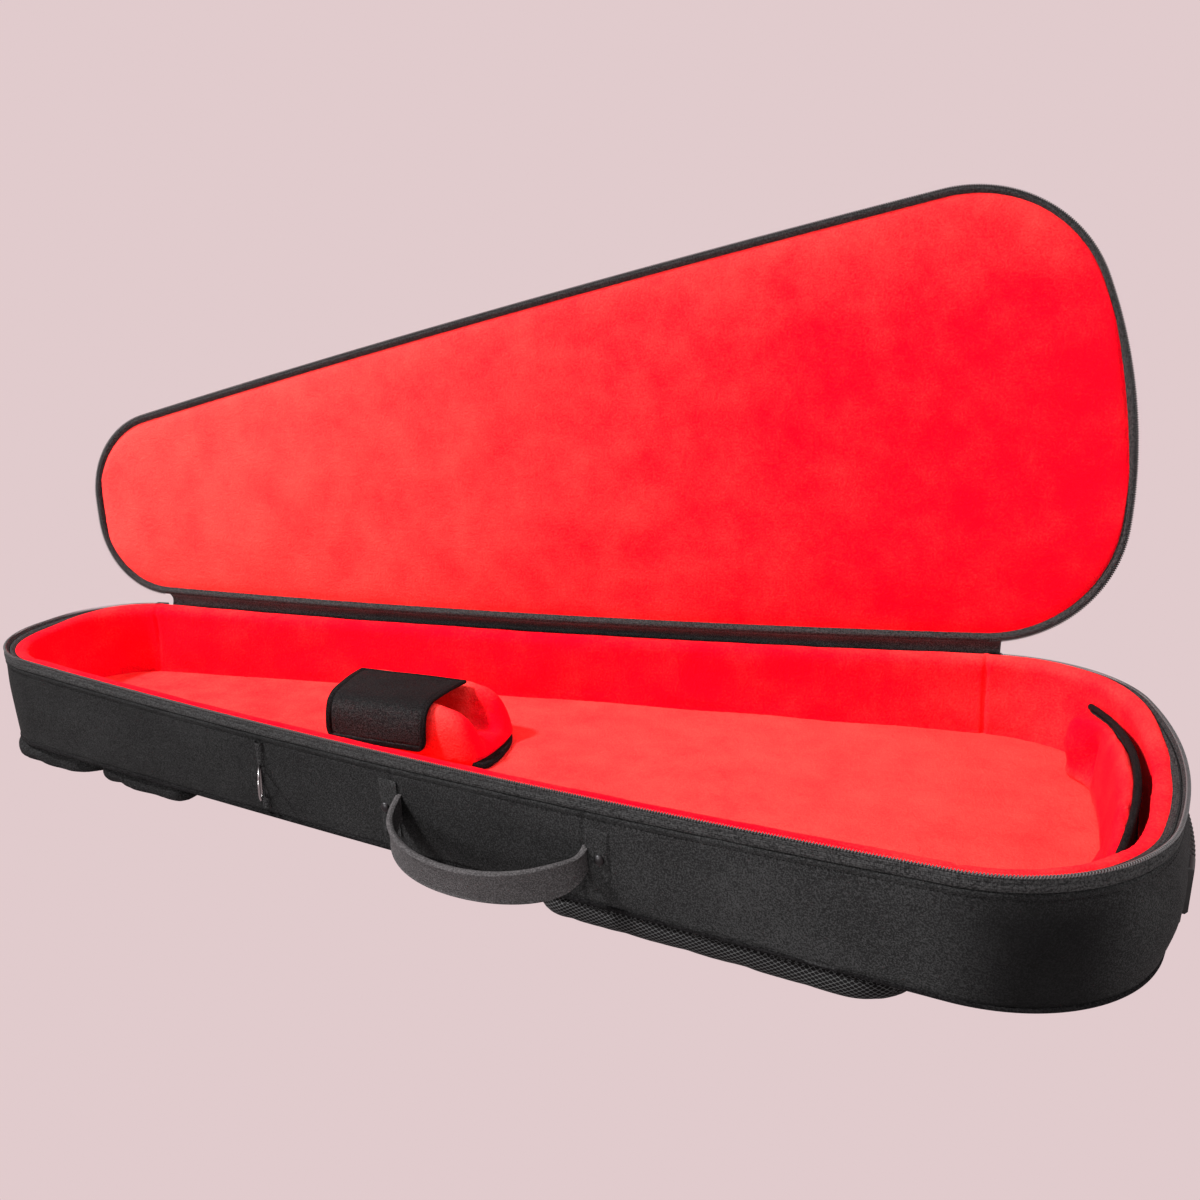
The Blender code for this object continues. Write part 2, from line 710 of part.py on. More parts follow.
def build_handle():
    """Padded carry handle on the near wall: its two end fittings and the drooping grip."""
    left, *left_frame = near_wall(HANDLE_LEFT_X, HANDLE_HEIGHT)
    right, *right_frame = near_wall(HANDLE_RIGHT_X, HANDLE_HEIGHT)
    build_anchor("left", left, *left_frame, -1)
    build_anchor("right", right, *right_frame, 1)
    up = Vector((0.0, 0.0, 1.0))
    axis = (right - left).normalized()
    outward = Vector((axis.y, -axis.x, 0.0)).normalized()
    middle = (left + right) / 2 + outward * HANDLE_STAND
    handle = pivot("handle_axis", middle)
    reach_dir = outward * math.cos(HANDLE_DROOP) - up * math.sin(HANDLE_DROOP)
    width_dir = axis.cross(reach_dir).normalized()
    if width_dir.z < 0:
        width_dir.negate()
    half = (right - left).length / 2
    sections = []
    for angle in np.linspace(math.pi, 0.0, 15):
        reach = max(math.sin(angle), 0.0) ** 0.75
        across = math.copysign(abs(math.cos(angle)) ** 0.85, math.cos(angle))
        centre = middle + axis * across * (half - HANDLE_THICK / 2)
        centre += reach_dir * reach * (HANDLE_REACH - HANDLE_STAND)
        slope = Vector((-half * math.sin(angle), HANDLE_REACH * math.cos(angle), 0.0))
        slope.normalize()
        face = (axis * slope.y - reach_dir * slope.x).normalized()
        half_thick = face * HANDLE_THICK / 2
        half_wide = width_dir * HANDLE_WIDTH / 2
        sections.append([
            centre - half_thick - half_wide, centre + half_thick - half_wide,
            centre + half_thick + half_wide, centre - half_thick + half_wide,
        ])
    loft("carry_handle", sections, NYLON, parent=handle)


def build_side_ring():
    """Vertical webbing tab on the near wall and the wire ring that swings in its fold."""
    height = RIM_HEIGHT - BAND_WIDTH - RIM_SAG - RING_TAB_BOTTOM
    point, normal, along, up = near_wall(RING_X, RING_TAB_BOTTOM + height / 2)
    centre = point + normal * (GAP + RING_TAB_THICK / 2)
    turn = frame_of(along, up.cross(along), up)
    size = (RING_TAB_WIDTH, RING_TAB_THICK, height)
    block("ring_tab", size, centre, NYLON, frame=turn)
    seat, normal, along, up = near_wall(RING_X, RING_HEIGHT)
    seat += normal * (3 * GAP + RING_TAB_THICK + RING_WIRE)
    ring = pivot("ring_axis", seat)
    half = RING_BAR / 2
    corner = 0.004
    out = (normal * math.cos(RING_SWING) + along * math.sin(RING_SWING)).normalized()
    path = [(-half + corner, 0.0), (half - corner, 0.0)]
    for angle in np.linspace(90, -90, 9):
        bend = math.radians(angle)
        path.append((half * math.sin(bend), 0.0015 + RING_BOW * math.cos(bend)))
    points = [seat + up * lift + out * reach for lift, reach in path]
    tube("side_ring", points, RING_WIRE, STEEL, parent=ring, cyclic=True)


def build_cradle():
    """Neck cradle: bound mat on the floor, plush channel block and the strap over it."""
    floor = FLOOR_FOAM_TOP + GAP + FLOOR_LINING_THICK
    mat_low = floor + GAP
    mat_high = mat_low + CRADLE_MAT_THICK
    slide = pivot("cradle_slide", Vector((CRADLE_LEFT, 0.0, floor)))
    half = CRADLE_HALF_WIDTH + 0.004
    corner = 0.012
    outline = [(CRADLE_LEFT, -half), (CRADLE_RIGHT - corner, -half)]
    for angle in np.linspace(-60, 60, 5):
        turn = math.radians(angle)
        outline.append((CRADLE_RIGHT - corner + corner * math.cos(turn), (half - 0.006) * math.sin(turn)))
    outline += [(CRADLE_RIGHT - corner, half), (CRADLE_LEFT, half)]
    plate("cradle_mat", outline, mat_low, mat_high, NYLON, parent=slide)
    low = mat_high + GAP
    high = low + CRADLE_HEIGHT
    inner = CHANNEL_HALF_WIDTH
    outer = CRADLE_HALF_WIDTH
    trough = high - CHANNEL_DEPTH
    slope_start = STRAP_RIGHT + 0.006
    end_low = CRADLE_RIGHT - 0.012
    stages = (
        (CRADLE_LEFT + 0.004, 1.0, 0.0),
        (CRADLE_LEFT + 0.012, 1.0, 0.0),
        ((CRADLE_LEFT + slope_start) / 2, 1.0, 0.0),
        (slope_start, 1.0, 0.0),
        (slope_start + 0.016, 0.86, 0.001),
        (slope_start + 0.028, 0.55, 0.003),
        (end_low, 0.16, 0.006),
    )
    sections = []
    for x, rise, pull_in in stages:
        top = low + (high - low) * rise
        bed = low + min(trough - low, (high - low) * rise * 0.55)
        wide = outer - pull_in
        sections.append([
            Vector((x, -wide, low)), Vector((x, -wide - 0.001, low + (top - low) * 0.6)),
            Vector((x, -wide + 0.003, top - 0.001)), Vector((x, -(wide + inner) / 2, top)),
            Vector((x, -inner, top - 0.004)), Vector((x, -inner + 0.002, bed)),
            Vector((x, inner - 0.002, bed)), Vector((x, inner, top - 0.004)),
            Vector((x, (wide + inner) / 2, top)), Vector((x, wide - 0.003, top - 0.001)),
            Vector((x, wide + 0.001, low + (top - low) * 0.6)), Vector((x, wide, low)),
        ])
    loft("cradle_block", sections, PLUSH, parent=slide)
    gap = 0.0009
    top_z = high + gap
    near = -(outer + 0.0022)
    far = outer - 0.006
    profile = [
        (far, top_z), (0.0, top_z + 0.0012), (near + 0.010, top_z), (near + 0.002, top_z - 0.003),
        (near - 0.001, top_z - 0.010), (near - 0.002, top_z - STRAP_DROP),
    ]
    strap = pivot("strap_axis", Vector((STRAP_LEFT, far, top_z)))
    build_strap(profile, strap)


def offset_line(profile, distance):
    """Points of an open profile moved square to it, towards its outer side."""
    moved = []
    for index, (y, z) in enumerate(profile):
        before = profile[max(index - 1, 0)]
        after = profile[min(index + 1, len(profile) - 1)]
        step = Vector((after[0] - before[0], after[1] - before[1])).normalized()
        moved.append((y + step.y * distance, z - step.x * distance))
    return moved


def build_strap(profile, strap):
    """Neck strap: fabric panel over the cradle, with a corded binding on its three free edges."""
    outside = offset_line(profile, STRAP_THICK)
    section = profile + outside[::-1]
    ends = (STRAP_LEFT, STRAP_RIGHT)
    sections = [[Vector((x, y, z)) for y, z in section] for x in ends]
    loft("neck_strap", sections, NYLON, parent=strap)
    beside = STRAP_BINDING + GAP
    line = offset_line(profile, STRAP_THICK / 2)
    start = Vector(line[0]).lerp(Vector(line[1]), 0.1)
    foot = line[-1][1] - beside
    run = [tuple(start)] + line[1:-1] + [(line[-1][0], foot)]
    left = [Vector((STRAP_LEFT - beside, y, z)) for y, z in run]
    right = [Vector((STRAP_RIGHT + beside, y, z)) for y, z in run]
    tube("neck_strap_binding", left + right[::-1], STRAP_BINDING, NYLON, parent=strap)


def build_end_bumper():
    """Crescent pad at the wide end, its black back and the binding along its top."""
    floor = FLOOR_FOAM_TOP + GAP + FLOOR_LINING_THICK + GAP
    end_centre = LENGTH / 2 - END_RADIUS_WIDE
    outer_radius = END_RADIUS_WIDE - WALL_THICK - GAP - LINING_THICK - BUMPER_WALL_GAP
    back_radius = outer_radius - BUMPER_BACK_THICK
    half_angle = math.asin(BUMPER_HALF_SPAN / outer_radius)
    pad_radius = back_radius - GAP
    sections = []
    for angle in np.linspace(-half_angle, half_angle, BUMPER_STEPS):
        share = angle / half_angle
        fade = 0.18 + 0.82 * math.cos(share * math.pi / 2) ** 0.6
        top = floor + BUMPER_HEIGHT * (0.80 + 0.20 * math.cos(share * math.pi / 2))
        thick = BUMPER_THICK * fade
        lean = BUMPER_LEAN * fade
        crown = BUMPER_CROWN * fade
        tall = top - floor
        direction = Vector((math.cos(angle), math.sin(angle), 0.0))
        origin = Vector((end_centre, 0.0, 0.0))
        profile = (
            (pad_radius, floor), (pad_radius, top - 0.003), (pad_radius - 0.003 * fade, top),
            (pad_radius - thick * 0.35, top + crown), (pad_radius - thick * 0.65, top),
            (pad_radius - thick * 0.90, top - 0.0055),
            (pad_radius - thick - lean * 0.14, floor + tall * 0.76),
            (pad_radius - thick - lean * 0.40 - crown, floor + tall * 0.52),
            (pad_radius - thick - lean * 0.74 - crown, floor + tall * 0.26),
            (pad_radius - thick - lean, floor),
        )
        sections.append([origin + direction * radius + Vector((0.0, 0.0, z)) for radius, z in profile])
    loft("end_bumper_pad", sections, PLUSH)
    back = []
    edge = []
    for angle in np.linspace(-half_angle, half_angle, BUMPER_STEPS):
        share = angle / half_angle
        top = floor + BUMPER_HEIGHT * (0.80 + 0.20 * math.cos(share * math.pi / 2))
        direction = Vector((math.cos(angle), math.sin(angle), 0.0))
        origin = Vector((end_centre, 0.0, 0.0))
        radii = (back_radius, outer_radius)
        back.append([
            origin + direction * radii[0] + Vector((0.0, 0.0, floor)),
            origin + direction * radii[1] + Vector((0.0, 0.0, floor)),
            origin + direction * radii[1] + Vector((0.0, 0.0, top)),
            origin + direction * radii[0] + Vector((0.0, 0.0, top)),
        ])
        middle = (radii[0] + radii[1]) / 2 - 0.0004
        edge.append(origin + direction * middle + Vector((0.0, 0.0, top + BUMPER_BINDING + GAP)))
    loft("end_bumper_back", back, NYLON)
    tube("end_bumper_binding", edge, BUMPER_BINDING, NYLON)


def build_end_guard():
    """Rubber guard outside the wide end, with upright ribs between two plain end blocks."""
    end_centre = LENGTH / 2 - END_RADIUS_WIDE
    half_angle = math.asin(GUARD_HALF_SPAN / END_RADIUS_WIDE)
    rib_angle = half_angle * 0.74
    pitch = 2 * rib_angle / GUARD_RIBS
    points = [(0.0, angle) for angle in np.linspace(-half_angle, half_angle, 13)]
    points.append((GUARD_THICK, half_angle))
    for index in range(GUARD_RIBS, 0, -1):
        start = -rib_angle + pitch * index
        points.append((GUARD_THICK, start))
        points.append((GUARD_THICK - GUARD_RIB_DEPTH, start - 0.12 * pitch))
        points.append((GUARD_THICK - GUARD_RIB_DEPTH, start - 0.48 * pitch))
        points.append((GUARD_THICK, start - 0.60 * pitch))
    points.append((GUARD_THICK, -rib_angle))
    points.append((GUARD_THICK, -half_angle))
    sections = []
    for height in (GUARD_BOTTOM, GUARD_TOP):
        inner = END_RADIUS_WIDE - wall_inset(LENGTH / 2, height) + GAP
        ring = []
        for reach, angle in points:
            radius = inner + reach
            ring.append(Vector((
                end_centre + radius * math.cos(angle), radius * math.sin(angle), height,
            )))
        sections.append(ring)
    loft("end_guard", sections, RUBBER, smooth_angle=30)


def pad_outline(x_low, x_high, inset, steps=6, corner=0.030):
    """Plan outline of a pad that follows the bag's sides, with rounded corners."""
    centre, radius = side_circle()
    reach = radius - inset

    def half_width(x):
        return centre[1] + math.sqrt(reach ** 2 - (x - centre[0]) ** 2)

    top = []
    for angle in np.linspace(180, 90, steps):
        turn = math.radians(angle)
        x = x_low + corner + corner * math.cos(turn)
        top.append((x, half_width(x_low + corner) - corner + corner * math.sin(turn)))
    for angle in np.linspace(90, 0, steps):
        turn = math.radians(angle)
        x = x_high - corner + corner * math.cos(turn)
        top.append((x, half_width(x_high - corner) - corner + corner * math.sin(turn)))
    return top + [(x, -y) for x, y in top[::-1]]


def build_back_pads():
    """Yoke pad, lumbar mesh pad, strap cover and the two stowed shoulder straps under the back."""
    yoke_left = -LENGTH / 2 + YOKE_MARGIN
    yoke_right = yoke_left + YOKE_LENGTH
    cover_left = yoke_right + COVER_GAP
    cover_right = cover_left + COVER_LENGTH
    for name, x_low, x_high, inset, corner, depth, spec in (
        ("yoke_pad", yoke_left, yoke_right, YOKE_INSET, 0.050, PAD_DEPTH, NYLON),
        ("lumbar_pad", LUMBAR_LEFT, LUMBAR_RIGHT, LUMBAR_INSET, 0.040, PAD_DEPTH, MESH),
        ("strap_cover", cover_left, cover_right, COVER_INSET, 0.014, COVER_DEPTH, NYLON),
    ):
        low = -depth
        rings = []
        for shrink, z in (
            (0.0, -GAP), (-PAD_BULGE, low * 0.35), (-PAD_BULGE * 0.8, low * 0.62),
            (0.0015, low * 0.86), (0.0070, low),
        ):
            outline = pad_outline(x_low + shrink, x_high - shrink, inset + shrink, corner=corner)
            rings.append([Vector((x, y, z)) for x, y in outline])
        loft(name, rings, spec)
    harness_left = cover_right + HARNESS_GAP
    harness_right = harness_left + HARNESS_LENGTH
    deep = -GAP - HARNESS_THICK
    for name, side in (("shoulder_strap_left", 1), ("shoulder_strap_right", -1)):
        sections = []
        for share in np.linspace(0.0, 1.0, 9):
            x = harness_left + share * HARNESS_LENGTH
            y = side * (HARNESS_SPREAD + HARNESS_BOW * math.sin(share * math.pi))
            wide = HARNESS_HALF_WIDTH - HARNESS_TAPER * share
            sections.append([
                Vector((x, y - wide, -GAP)), Vector((x, y - wide, deep * 0.60)),
                Vector((x, y - wide * 0.86, deep * 0.95)), Vector((x, y, deep)),
                Vector((x, y + wide * 0.86, deep * 0.95)), Vector((x, y + wide, deep * 0.60)),
                Vector((x, y + wide, -GAP)),
            ])
        loft(name, sections, NYLON)
    buckle_x = harness_right + HARNESS_GAP + BUCKLE_LENGTH / 2
    webbing_x = buckle_x + (BUCKLE_LENGTH + WEBBING_LENGTH) / 2 + 2 * GAP
    for name, side in (("strap_buckle_left", 1), ("strap_buckle_right", -1)):
        size = (BUCKLE_LENGTH, BUCKLE_WIDTH, BUCKLE_THICK)
        spot = Vector((buckle_x, side * HARNESS_SPREAD, -GAP - BUCKLE_THICK / 2))
        block(name, size, spot, RUBBER, bevel=0.001)
    for name, side in (("strap_webbing_left", 1), ("strap_webbing_right", -1)):
        size = (WEBBING_LENGTH, WEBBING_WIDTH, WEBBING_THICK)
        spot = Vector((webbing_x, side * HARNESS_SPREAD, -2 * GAP - WEBBING_THICK / 2))
        block(name, size, spot, NYLON)


def build_slider(name, centre_xy, angle):
    """Main zip slider hooked over the base coil, on an empty at its corner's centre."""
    radius = CORNER_RADIUS_WIDE if centre_xy[0] > 0 else CORNER_RADIUS_NARROW
    centre = Vector((centre_xy[0], centre_xy[1], 0.0))
    bridge = -COIL_DROP + GAP
    profile = (
        (SLIDER_OUTSET + SLIDER_PLATE, -SLIDER_HEIGHT), (SLIDER_OUTSET + SLIDER_PLATE, 0.0),
        (-SLIDER_LIP - SLIDER_LIP_THICK, 0.0), (-SLIDER_LIP - SLIDER_LIP_THICK, -SLIDER_HEIGHT / 2),
        (-SLIDER_LIP, -SLIDER_HEIGHT / 2), (-SLIDER_LIP, bridge),
        (SLIDER_OUTSET, bridge), (SLIDER_OUTSET, -SLIDER_HEIGHT),
    )
    half = SLIDER_LENGTH / 2 / radius
    sections = []
    for turn in np.linspace(-half, half, 5):
        direction = Vector((math.cos(angle + turn), math.sin(angle + turn), 0.0))
        seat = centre + direction * radius
        lift = Vector((0.0, 0.0, rim(seat.x)))
        sections.append([seat + direction * reach + lift + Vector((0.0, 0.0, z))
                         for reach, z in profile])
    direction = Vector((math.cos(angle), math.sin(angle), 0.0))
    along = Vector((-direction.y, direction.x, 0.0))
    seat = centre + direction * radius
    top = rim(seat.x)
    empty = pivot(f"{name}_axis", Vector((centre.x, centre.y, top)))
    loft(name, sections, DARK_METAL, parent=empty, smooth_angle=30)
    return seat, direction, along, top


def build_sliders():
    """Two sliders parked at the hinge ends, each with its pull hanging outside."""
    first = STATIONS[HINGE_FIRST][3]
    last = STATIONS[HINGE_LAST][3]
    for label, centre, angle in (
        ("wide", CORNER_WIDE, first - math.radians(5.0)),
        ("narrow", CORNER_NARROW, last + math.radians(7.0)),
    ):
        seat, direction, along, top = build_slider(f"slider_{label}", centre, angle)
        hang = Vector((0.0, 0.0, -1.0))
        reach = SLIDER_OUTSET + SLIDER_PLATE + 2 * GAP + PULL_THICK / 2
        start = seat + direction * reach + Vector((0.0, 0.0, top - 0.0030))
        turn = pivot(f"pull_{label}_axis", start)
        middle = start + hang * (PULL_LENGTH / 2 - 0.001)
        frame = frame_of(along, direction, along.cross(direction))
        block(
            f"pull_{label}", (PULL_WIDTH, PULL_THICK, PULL_LENGTH), middle, DARK_METAL,
            parent=turn, frame=frame, bevel=0.0004, segments=1,
        )


clear_scene()
GROUP = make_collection()
build_base_shell()
build_base_padding()
LID = pivot("lid_hinge", HINGE_POINT, Matrix.Rotation(-OPEN_ANGLE, 3, HINGE_AXIS))
build_lid(LID)
build_pocket(LID)
build_hinge()
build_handle()
build_side_ring()
build_cradle()
build_end_bumper()
build_end_guard()
build_back_pads()
build_sliders()
TO_ORIGIN = Vector((-(LUMBAR_LEFT + LUMBAR_RIGHT) / 2, 0.0, PAD_DEPTH))
for piece in GROUP.objects:
    if piece.parent is None:
        piece.location += TO_ORIGIN
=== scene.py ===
"""Looks of the open guitar gig bag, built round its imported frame.

Points are worked out in metres from the centre of the back panel, as the part is drawn, and moved
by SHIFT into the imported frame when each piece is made. s is the distance round the plan outline,
anticlockwise from the middle of the wide end. An inset is how far a point lies inside it.
"""
import json
import math

import bpy
import numpy as np
from mathutils import Matrix, Vector


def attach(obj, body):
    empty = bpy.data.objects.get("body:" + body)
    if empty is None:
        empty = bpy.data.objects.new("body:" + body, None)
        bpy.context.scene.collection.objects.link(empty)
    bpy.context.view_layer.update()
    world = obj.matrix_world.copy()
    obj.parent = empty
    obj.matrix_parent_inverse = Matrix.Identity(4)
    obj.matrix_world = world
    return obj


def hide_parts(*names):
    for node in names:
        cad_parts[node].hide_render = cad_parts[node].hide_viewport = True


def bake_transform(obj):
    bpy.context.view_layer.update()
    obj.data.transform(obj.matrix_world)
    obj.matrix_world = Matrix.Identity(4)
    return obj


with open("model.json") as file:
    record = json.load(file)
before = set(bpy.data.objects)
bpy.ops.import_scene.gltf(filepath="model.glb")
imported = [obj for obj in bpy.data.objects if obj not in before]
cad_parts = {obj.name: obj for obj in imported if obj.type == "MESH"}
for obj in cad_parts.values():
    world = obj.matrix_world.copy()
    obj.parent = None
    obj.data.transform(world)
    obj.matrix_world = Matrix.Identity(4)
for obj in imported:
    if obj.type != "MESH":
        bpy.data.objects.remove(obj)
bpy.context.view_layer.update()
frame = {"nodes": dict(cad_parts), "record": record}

NODES = frame["nodes"]
SHIFT = np.array([-0.236, 0.0, 0.020])
UP = np.array([0.0, 0.0, 1.0])
TURN = 2 * math.pi

# plan outline, rim and wall
LENGTH = 1.100
HALF_NARROW, HALF_WIDE, SIDE_BULGE = 0.0905, 0.2232, 0.0074
END_NARROW, END_WIDE = 0.644, 0.487
CORNER_NARROW, CORNER_WIDE = 0.0914, 0.125
RIM, RIM_SAG, DRAFT = 0.0968, 0.0110, 0.0059
BAND = 0.0115
PIPING_TOP = 0.0046
WALL_FOOT = 0.0006
SEAMS_X = (-0.0160, 0.1545)
SEAM_WIDTH = 0.0016

# lid and hinge
LID_TOP = RIM + 0.0260
LID_CORNER = 0.0040
LID_PLUSH_INSET = 0.0050
OPEN = math.radians(94.8)
HINGE = np.array([0.0, (HALF_NARROW + HALF_WIDE) / 2 + SIDE_BULGE - 0.0025, RIM + 0.0063])
AXIS = np.array([1.0, (HALF_WIDE - HALF_NARROW) / LENGTH, 0.0])
AXIS /= np.linalg.norm(AXIS)
TOOTH_PITCH, ZIP_STOP = 0.0021, 0.004

# inside
GAP = 0.0003
FLOOR_Z = 0.0213
LINING_FOOT = 0.0260
ROLL_SEAM = 0.0128
FLOOR_INSET, FLOOR_TUCK = 0.0195, 0.0222
MAT_THICK = 0.0045
CRADLE_LOW = FLOOR_Z + GAP + MAT_THICK + GAP
CRADLE_TOP = CRADLE_LOW + 0.0462
STRAP_FAR = 0.0225
STRAP_BIND = 0.0054
PAD_HEIGHT, PAD_HALF_WIDTH, PAD_BACK_THICK = 0.0620, 0.1450, 0.0022

# outside
RING_X = -0.155
GRIP_REACH, GRIP_DROP, GRIP_LEAN = 0.0393, 0.0282, 0.343
PATCH_WIDTH, PATCH_FOOT, PATCH_HEIGHT = 0.0185, 0.0150, 0.0480

# camera fitted to the photograph
FRAME_PX = 1200
FOCAL_PX, CENTRE_X_PX, CENTRE_Y_PX = 1091.9, 599.63, 498.35
CAMERA_AT = (0.4352, -0.8394, 0.4322)
YAW, PITCH, ROLL = -0.3796, -0.1851, -0.0216
SENSOR = 36.0
BACKDROP = (0.752, 0.597, 0.610, 1)


# ---- shapes in numbers

def ease(t):
    """Smooth step: 0 for t below 0, 1 above 1."""
    t = np.clip(t, 0, 1)
    return t * t * (3 - 2 * t)


def bell(x, at, width):
    """1 where x is at, falling away over about width on both sides."""
    return np.exp(-((x - at) / width) ** 2)


def points(x, y, z):
    return np.stack(np.broadcast_arrays(x, y, z), -1)


def unit(vectors):
    return vectors / np.linalg.norm(vectors, axis=-1, keepdims=True)


def facing(a):
    """Outward and along-wall directions at outline angle a."""
    return np.stack([np.cos(a), np.sin(a), 0 * a], -1), np.stack([-np.sin(a), np.cos(a), 0 * a], -1)


def field(u, v, seed, wave, n=26):
    """Smooth random height, about -1 to 1: a sum of n plane waves near the wavelength."""
    rng = np.random.default_rng(seed)
    total = np.zeros(np.broadcast(u, v).shape)
    for _ in range(n):
        turn, phase = rng.uniform(0, TURN, 2)
        k = TURN / (wave * rng.uniform(0.7, 1.6))
        total += np.sin(k * (math.cos(turn) * u + math.sin(turn) * v) + phase)
    return total / math.sqrt(n) * 0.8


def smooth_closed(points, rounds=3):
    """Closed polygon rounded by corner cutting, along the next-to-last axis."""
    for _ in range(rounds):
        after = np.roll(points, -1, -2)
        points = np.stack([points * 0.75 + after * 0.25, points * 0.25 + after * 0.75], -2)
        points = points.reshape(*points.shape[:-3], -1, 3)
    return points


def resample(sections, count):
    """Cubic blend (Catmull-Rom) through equal sections, at count even steps."""
    k = len(sections)
    t = np.linspace(0, k - 1, count)
    i = np.clip(t.astype(int), 0, k - 2)
    f = (t - i)[:, None, None]
    p0, p1 = sections[np.maximum(i - 1, 0)], sections[i]
    p2, p3 = sections[i + 1], sections[np.minimum(i + 2, k - 1)]
    return 0.5 * (2 * p1 + (p2 - p0) * f + (2 * p0 - 5 * p1 + 4 * p2 - p3) * f ** 2
                  + (3 * p1 - p0 - 3 * p2 + p3) * f ** 3)


# ---- plan outline

def crossing(ca, ra, cb, rb, outward):
    """Crossing of two circles, the one farther along X in the outward sense."""
    step = cb - ca
    d = math.hypot(*step)
    a = (ra * ra - rb * rb + d * d) / (2 * d)
    h = math.sqrt(max(ra * ra - a * a, 0))
    u = step / d
    n = np.array([-u[1], u[0]])
    return max((ca + a * u + k * h * n for k in (1, -1)), key=lambda p: outward * p[0])


def outline_arcs():
    """Ten arcs (centre x, y, radius, from, to), anticlockwise from the wide end."""
    a, b = np.array([-LENGTH / 2, HALF_NARROW]), np.array([LENGTH / 2, HALF_WIDE])
    chord = b - a
    span = math.hypot(*chord)
    rs = span ** 2 / (8 * SIDE_BULGE) + SIDE_BULGE / 2
    sc = a + chord / 2 - np.array([-chord[1], chord[0]]) / span * (rs - SIDE_BULGE)
    got = {}
    for out, re, rc in ((1, END_WIDE, CORNER_WIDE), (-1, END_NARROW, CORNER_NARROW)):
        ec = np.array([out * (LENGTH / 2 - re), 0.0])
        k = crossing(ec, re - rc, sc, rs - rc, out)
        got[out] = (ec, re, k, rc, math.atan2(*(k - ec)[::-1]), math.atan2(*(k - sc)[::-1]))
    ew, rw, kw, fw, a1, a2 = got[1]
    en, rn, kn, fn, b1, b2 = got[-1]
    top = [(*ew, rw, 0, a1), (*kw, fw, a1, a2), (*sc, rs, a2, b2), (*kn, fn, b2, b1),
           (*en, rn, b1, math.pi)]
    low = [(x, -y, r, TURN - t1, TURN - t0) for x, y, r, t0, t1 in top[::-1]]
    return np.array(top + low)


ARCS = outline_arcs()
CUM = np.concatenate([[0.0], np.cumsum(ARCS[:, 2] * (ARCS[:, 4] - ARCS[:, 3]))])
PERIM = CUM[-1]
HINGE_FROM, HINGE_TO = CUM[2], CUM[3]
NEAR_FROM, NEAR_TO = CUM[7], CUM[8]


def plan(s, inset=0.0):
    """x, y and outward angle at distance s round the outline, moved in by inset."""
    s = np.mod(s, PERIM)
    k = np.clip(np.searchsorted(CUM, s, side="right") - 1, 0, 9)
    a = ARCS[k, 3] + (s - CUM[k]) / ARCS[k, 2]
    r = ARCS[k, 2] - inset
    return ARCS[k, 0] + r * np.cos(a), ARCS[k, 1] + r * np.sin(a), a


def around(n):
    return np.linspace(0, PERIM, n, endpoint=False)


def half_width(x, inset):
    px, py, _ = plan(np.linspace(0, PERIM / 2, 1600), inset)
    return np.interp(x, px[::-1], py[::-1])


def rim(x):
    """Height of the sagging rim."""
    return RIM - RIM_SAG * (1 - (2 * x / LENGTH) ** 2)


def wall_inset(x, z):
    """Inset of the drafted wall, straight from the piping up to the band's seam."""
    start, top = DRAFT * (1 - PIPING_TOP / RIM), DRAFT * BAND / RIM
    return start + (z - PIPING_TOP) / (rim(x) - BAND - PIPING_TOP) * (top - start)


def near_wall(x, z):
    """Points, outward normals and along-wall directions at x and z on the near wall."""
    s = np.linspace(NEAR_FROM, NEAR_TO, 400)
    s = np.interp(x, plan(s)[0], s)
    px, py, a = plan(s, wall_inset(x, z))
    return points(px, py, z), *facing(a)


def ring_grid(s, inset, height):
    """Rows carried round the outline at distances s: p = outline(s, inset) + height up.

    Both have a value for each row, or for each s and row; height can be a function of (x, y).
    """
    x, y, _ = plan(s[:, None], inset)
    return points(x, y, height(x, y) if callable(height) else height)


def rim_rows(s, rows):
    """Rows [(inset, height above the rim)] carried round the outline."""
    inset, up = np.array(rows).T
    return ring_grid(s, inset, lambda x, y: rim(x) + up)


def across(count_x, count_v, inset):
    """x, y grids that fill the outline: y = v * half width(x), v from -1 to 1."""
    x = -np.cos(np.linspace(0, math.pi, count_x)) * (LENGTH / 2 - inset)
    v = np.linspace(-1, 1, count_v)
    return np.repeat(x[:, None], count_v, 1), half_width(x, inset)[:, None] * v[None, :]


def edge_distance(x, y, inset):
    """About how far a point lies inside the outline moved in by inset."""
    return np.minimum(half_width(x, inset) - np.abs(y), LENGTH / 2 - inset - np.abs(x))


def turned(points, angle=-OPEN):
    """Lid points, drawn closed, turned about the hinge line (Rodrigues)."""
    v = np.asarray(points, float) - HINGE
    c, s = math.cos(angle), math.sin(angle)
    return v * c + np.cross(AXIS, v) * s + (v @ AXIS)[..., None] * AXIS * (1 - c) + HINGE


# ---- materials

def feed(tree, slot, value):
    """Links a shader value to a socket, or sets a constant on it."""
    if isinstance(value, Sock):
        tree.links.new(value.socket, slot)
    elif isinstance(value, (tuple, list)):
        slot.default_value = (*value, 1.0)[:len(slot.default_value)]
    else:
        slot.default_value = value


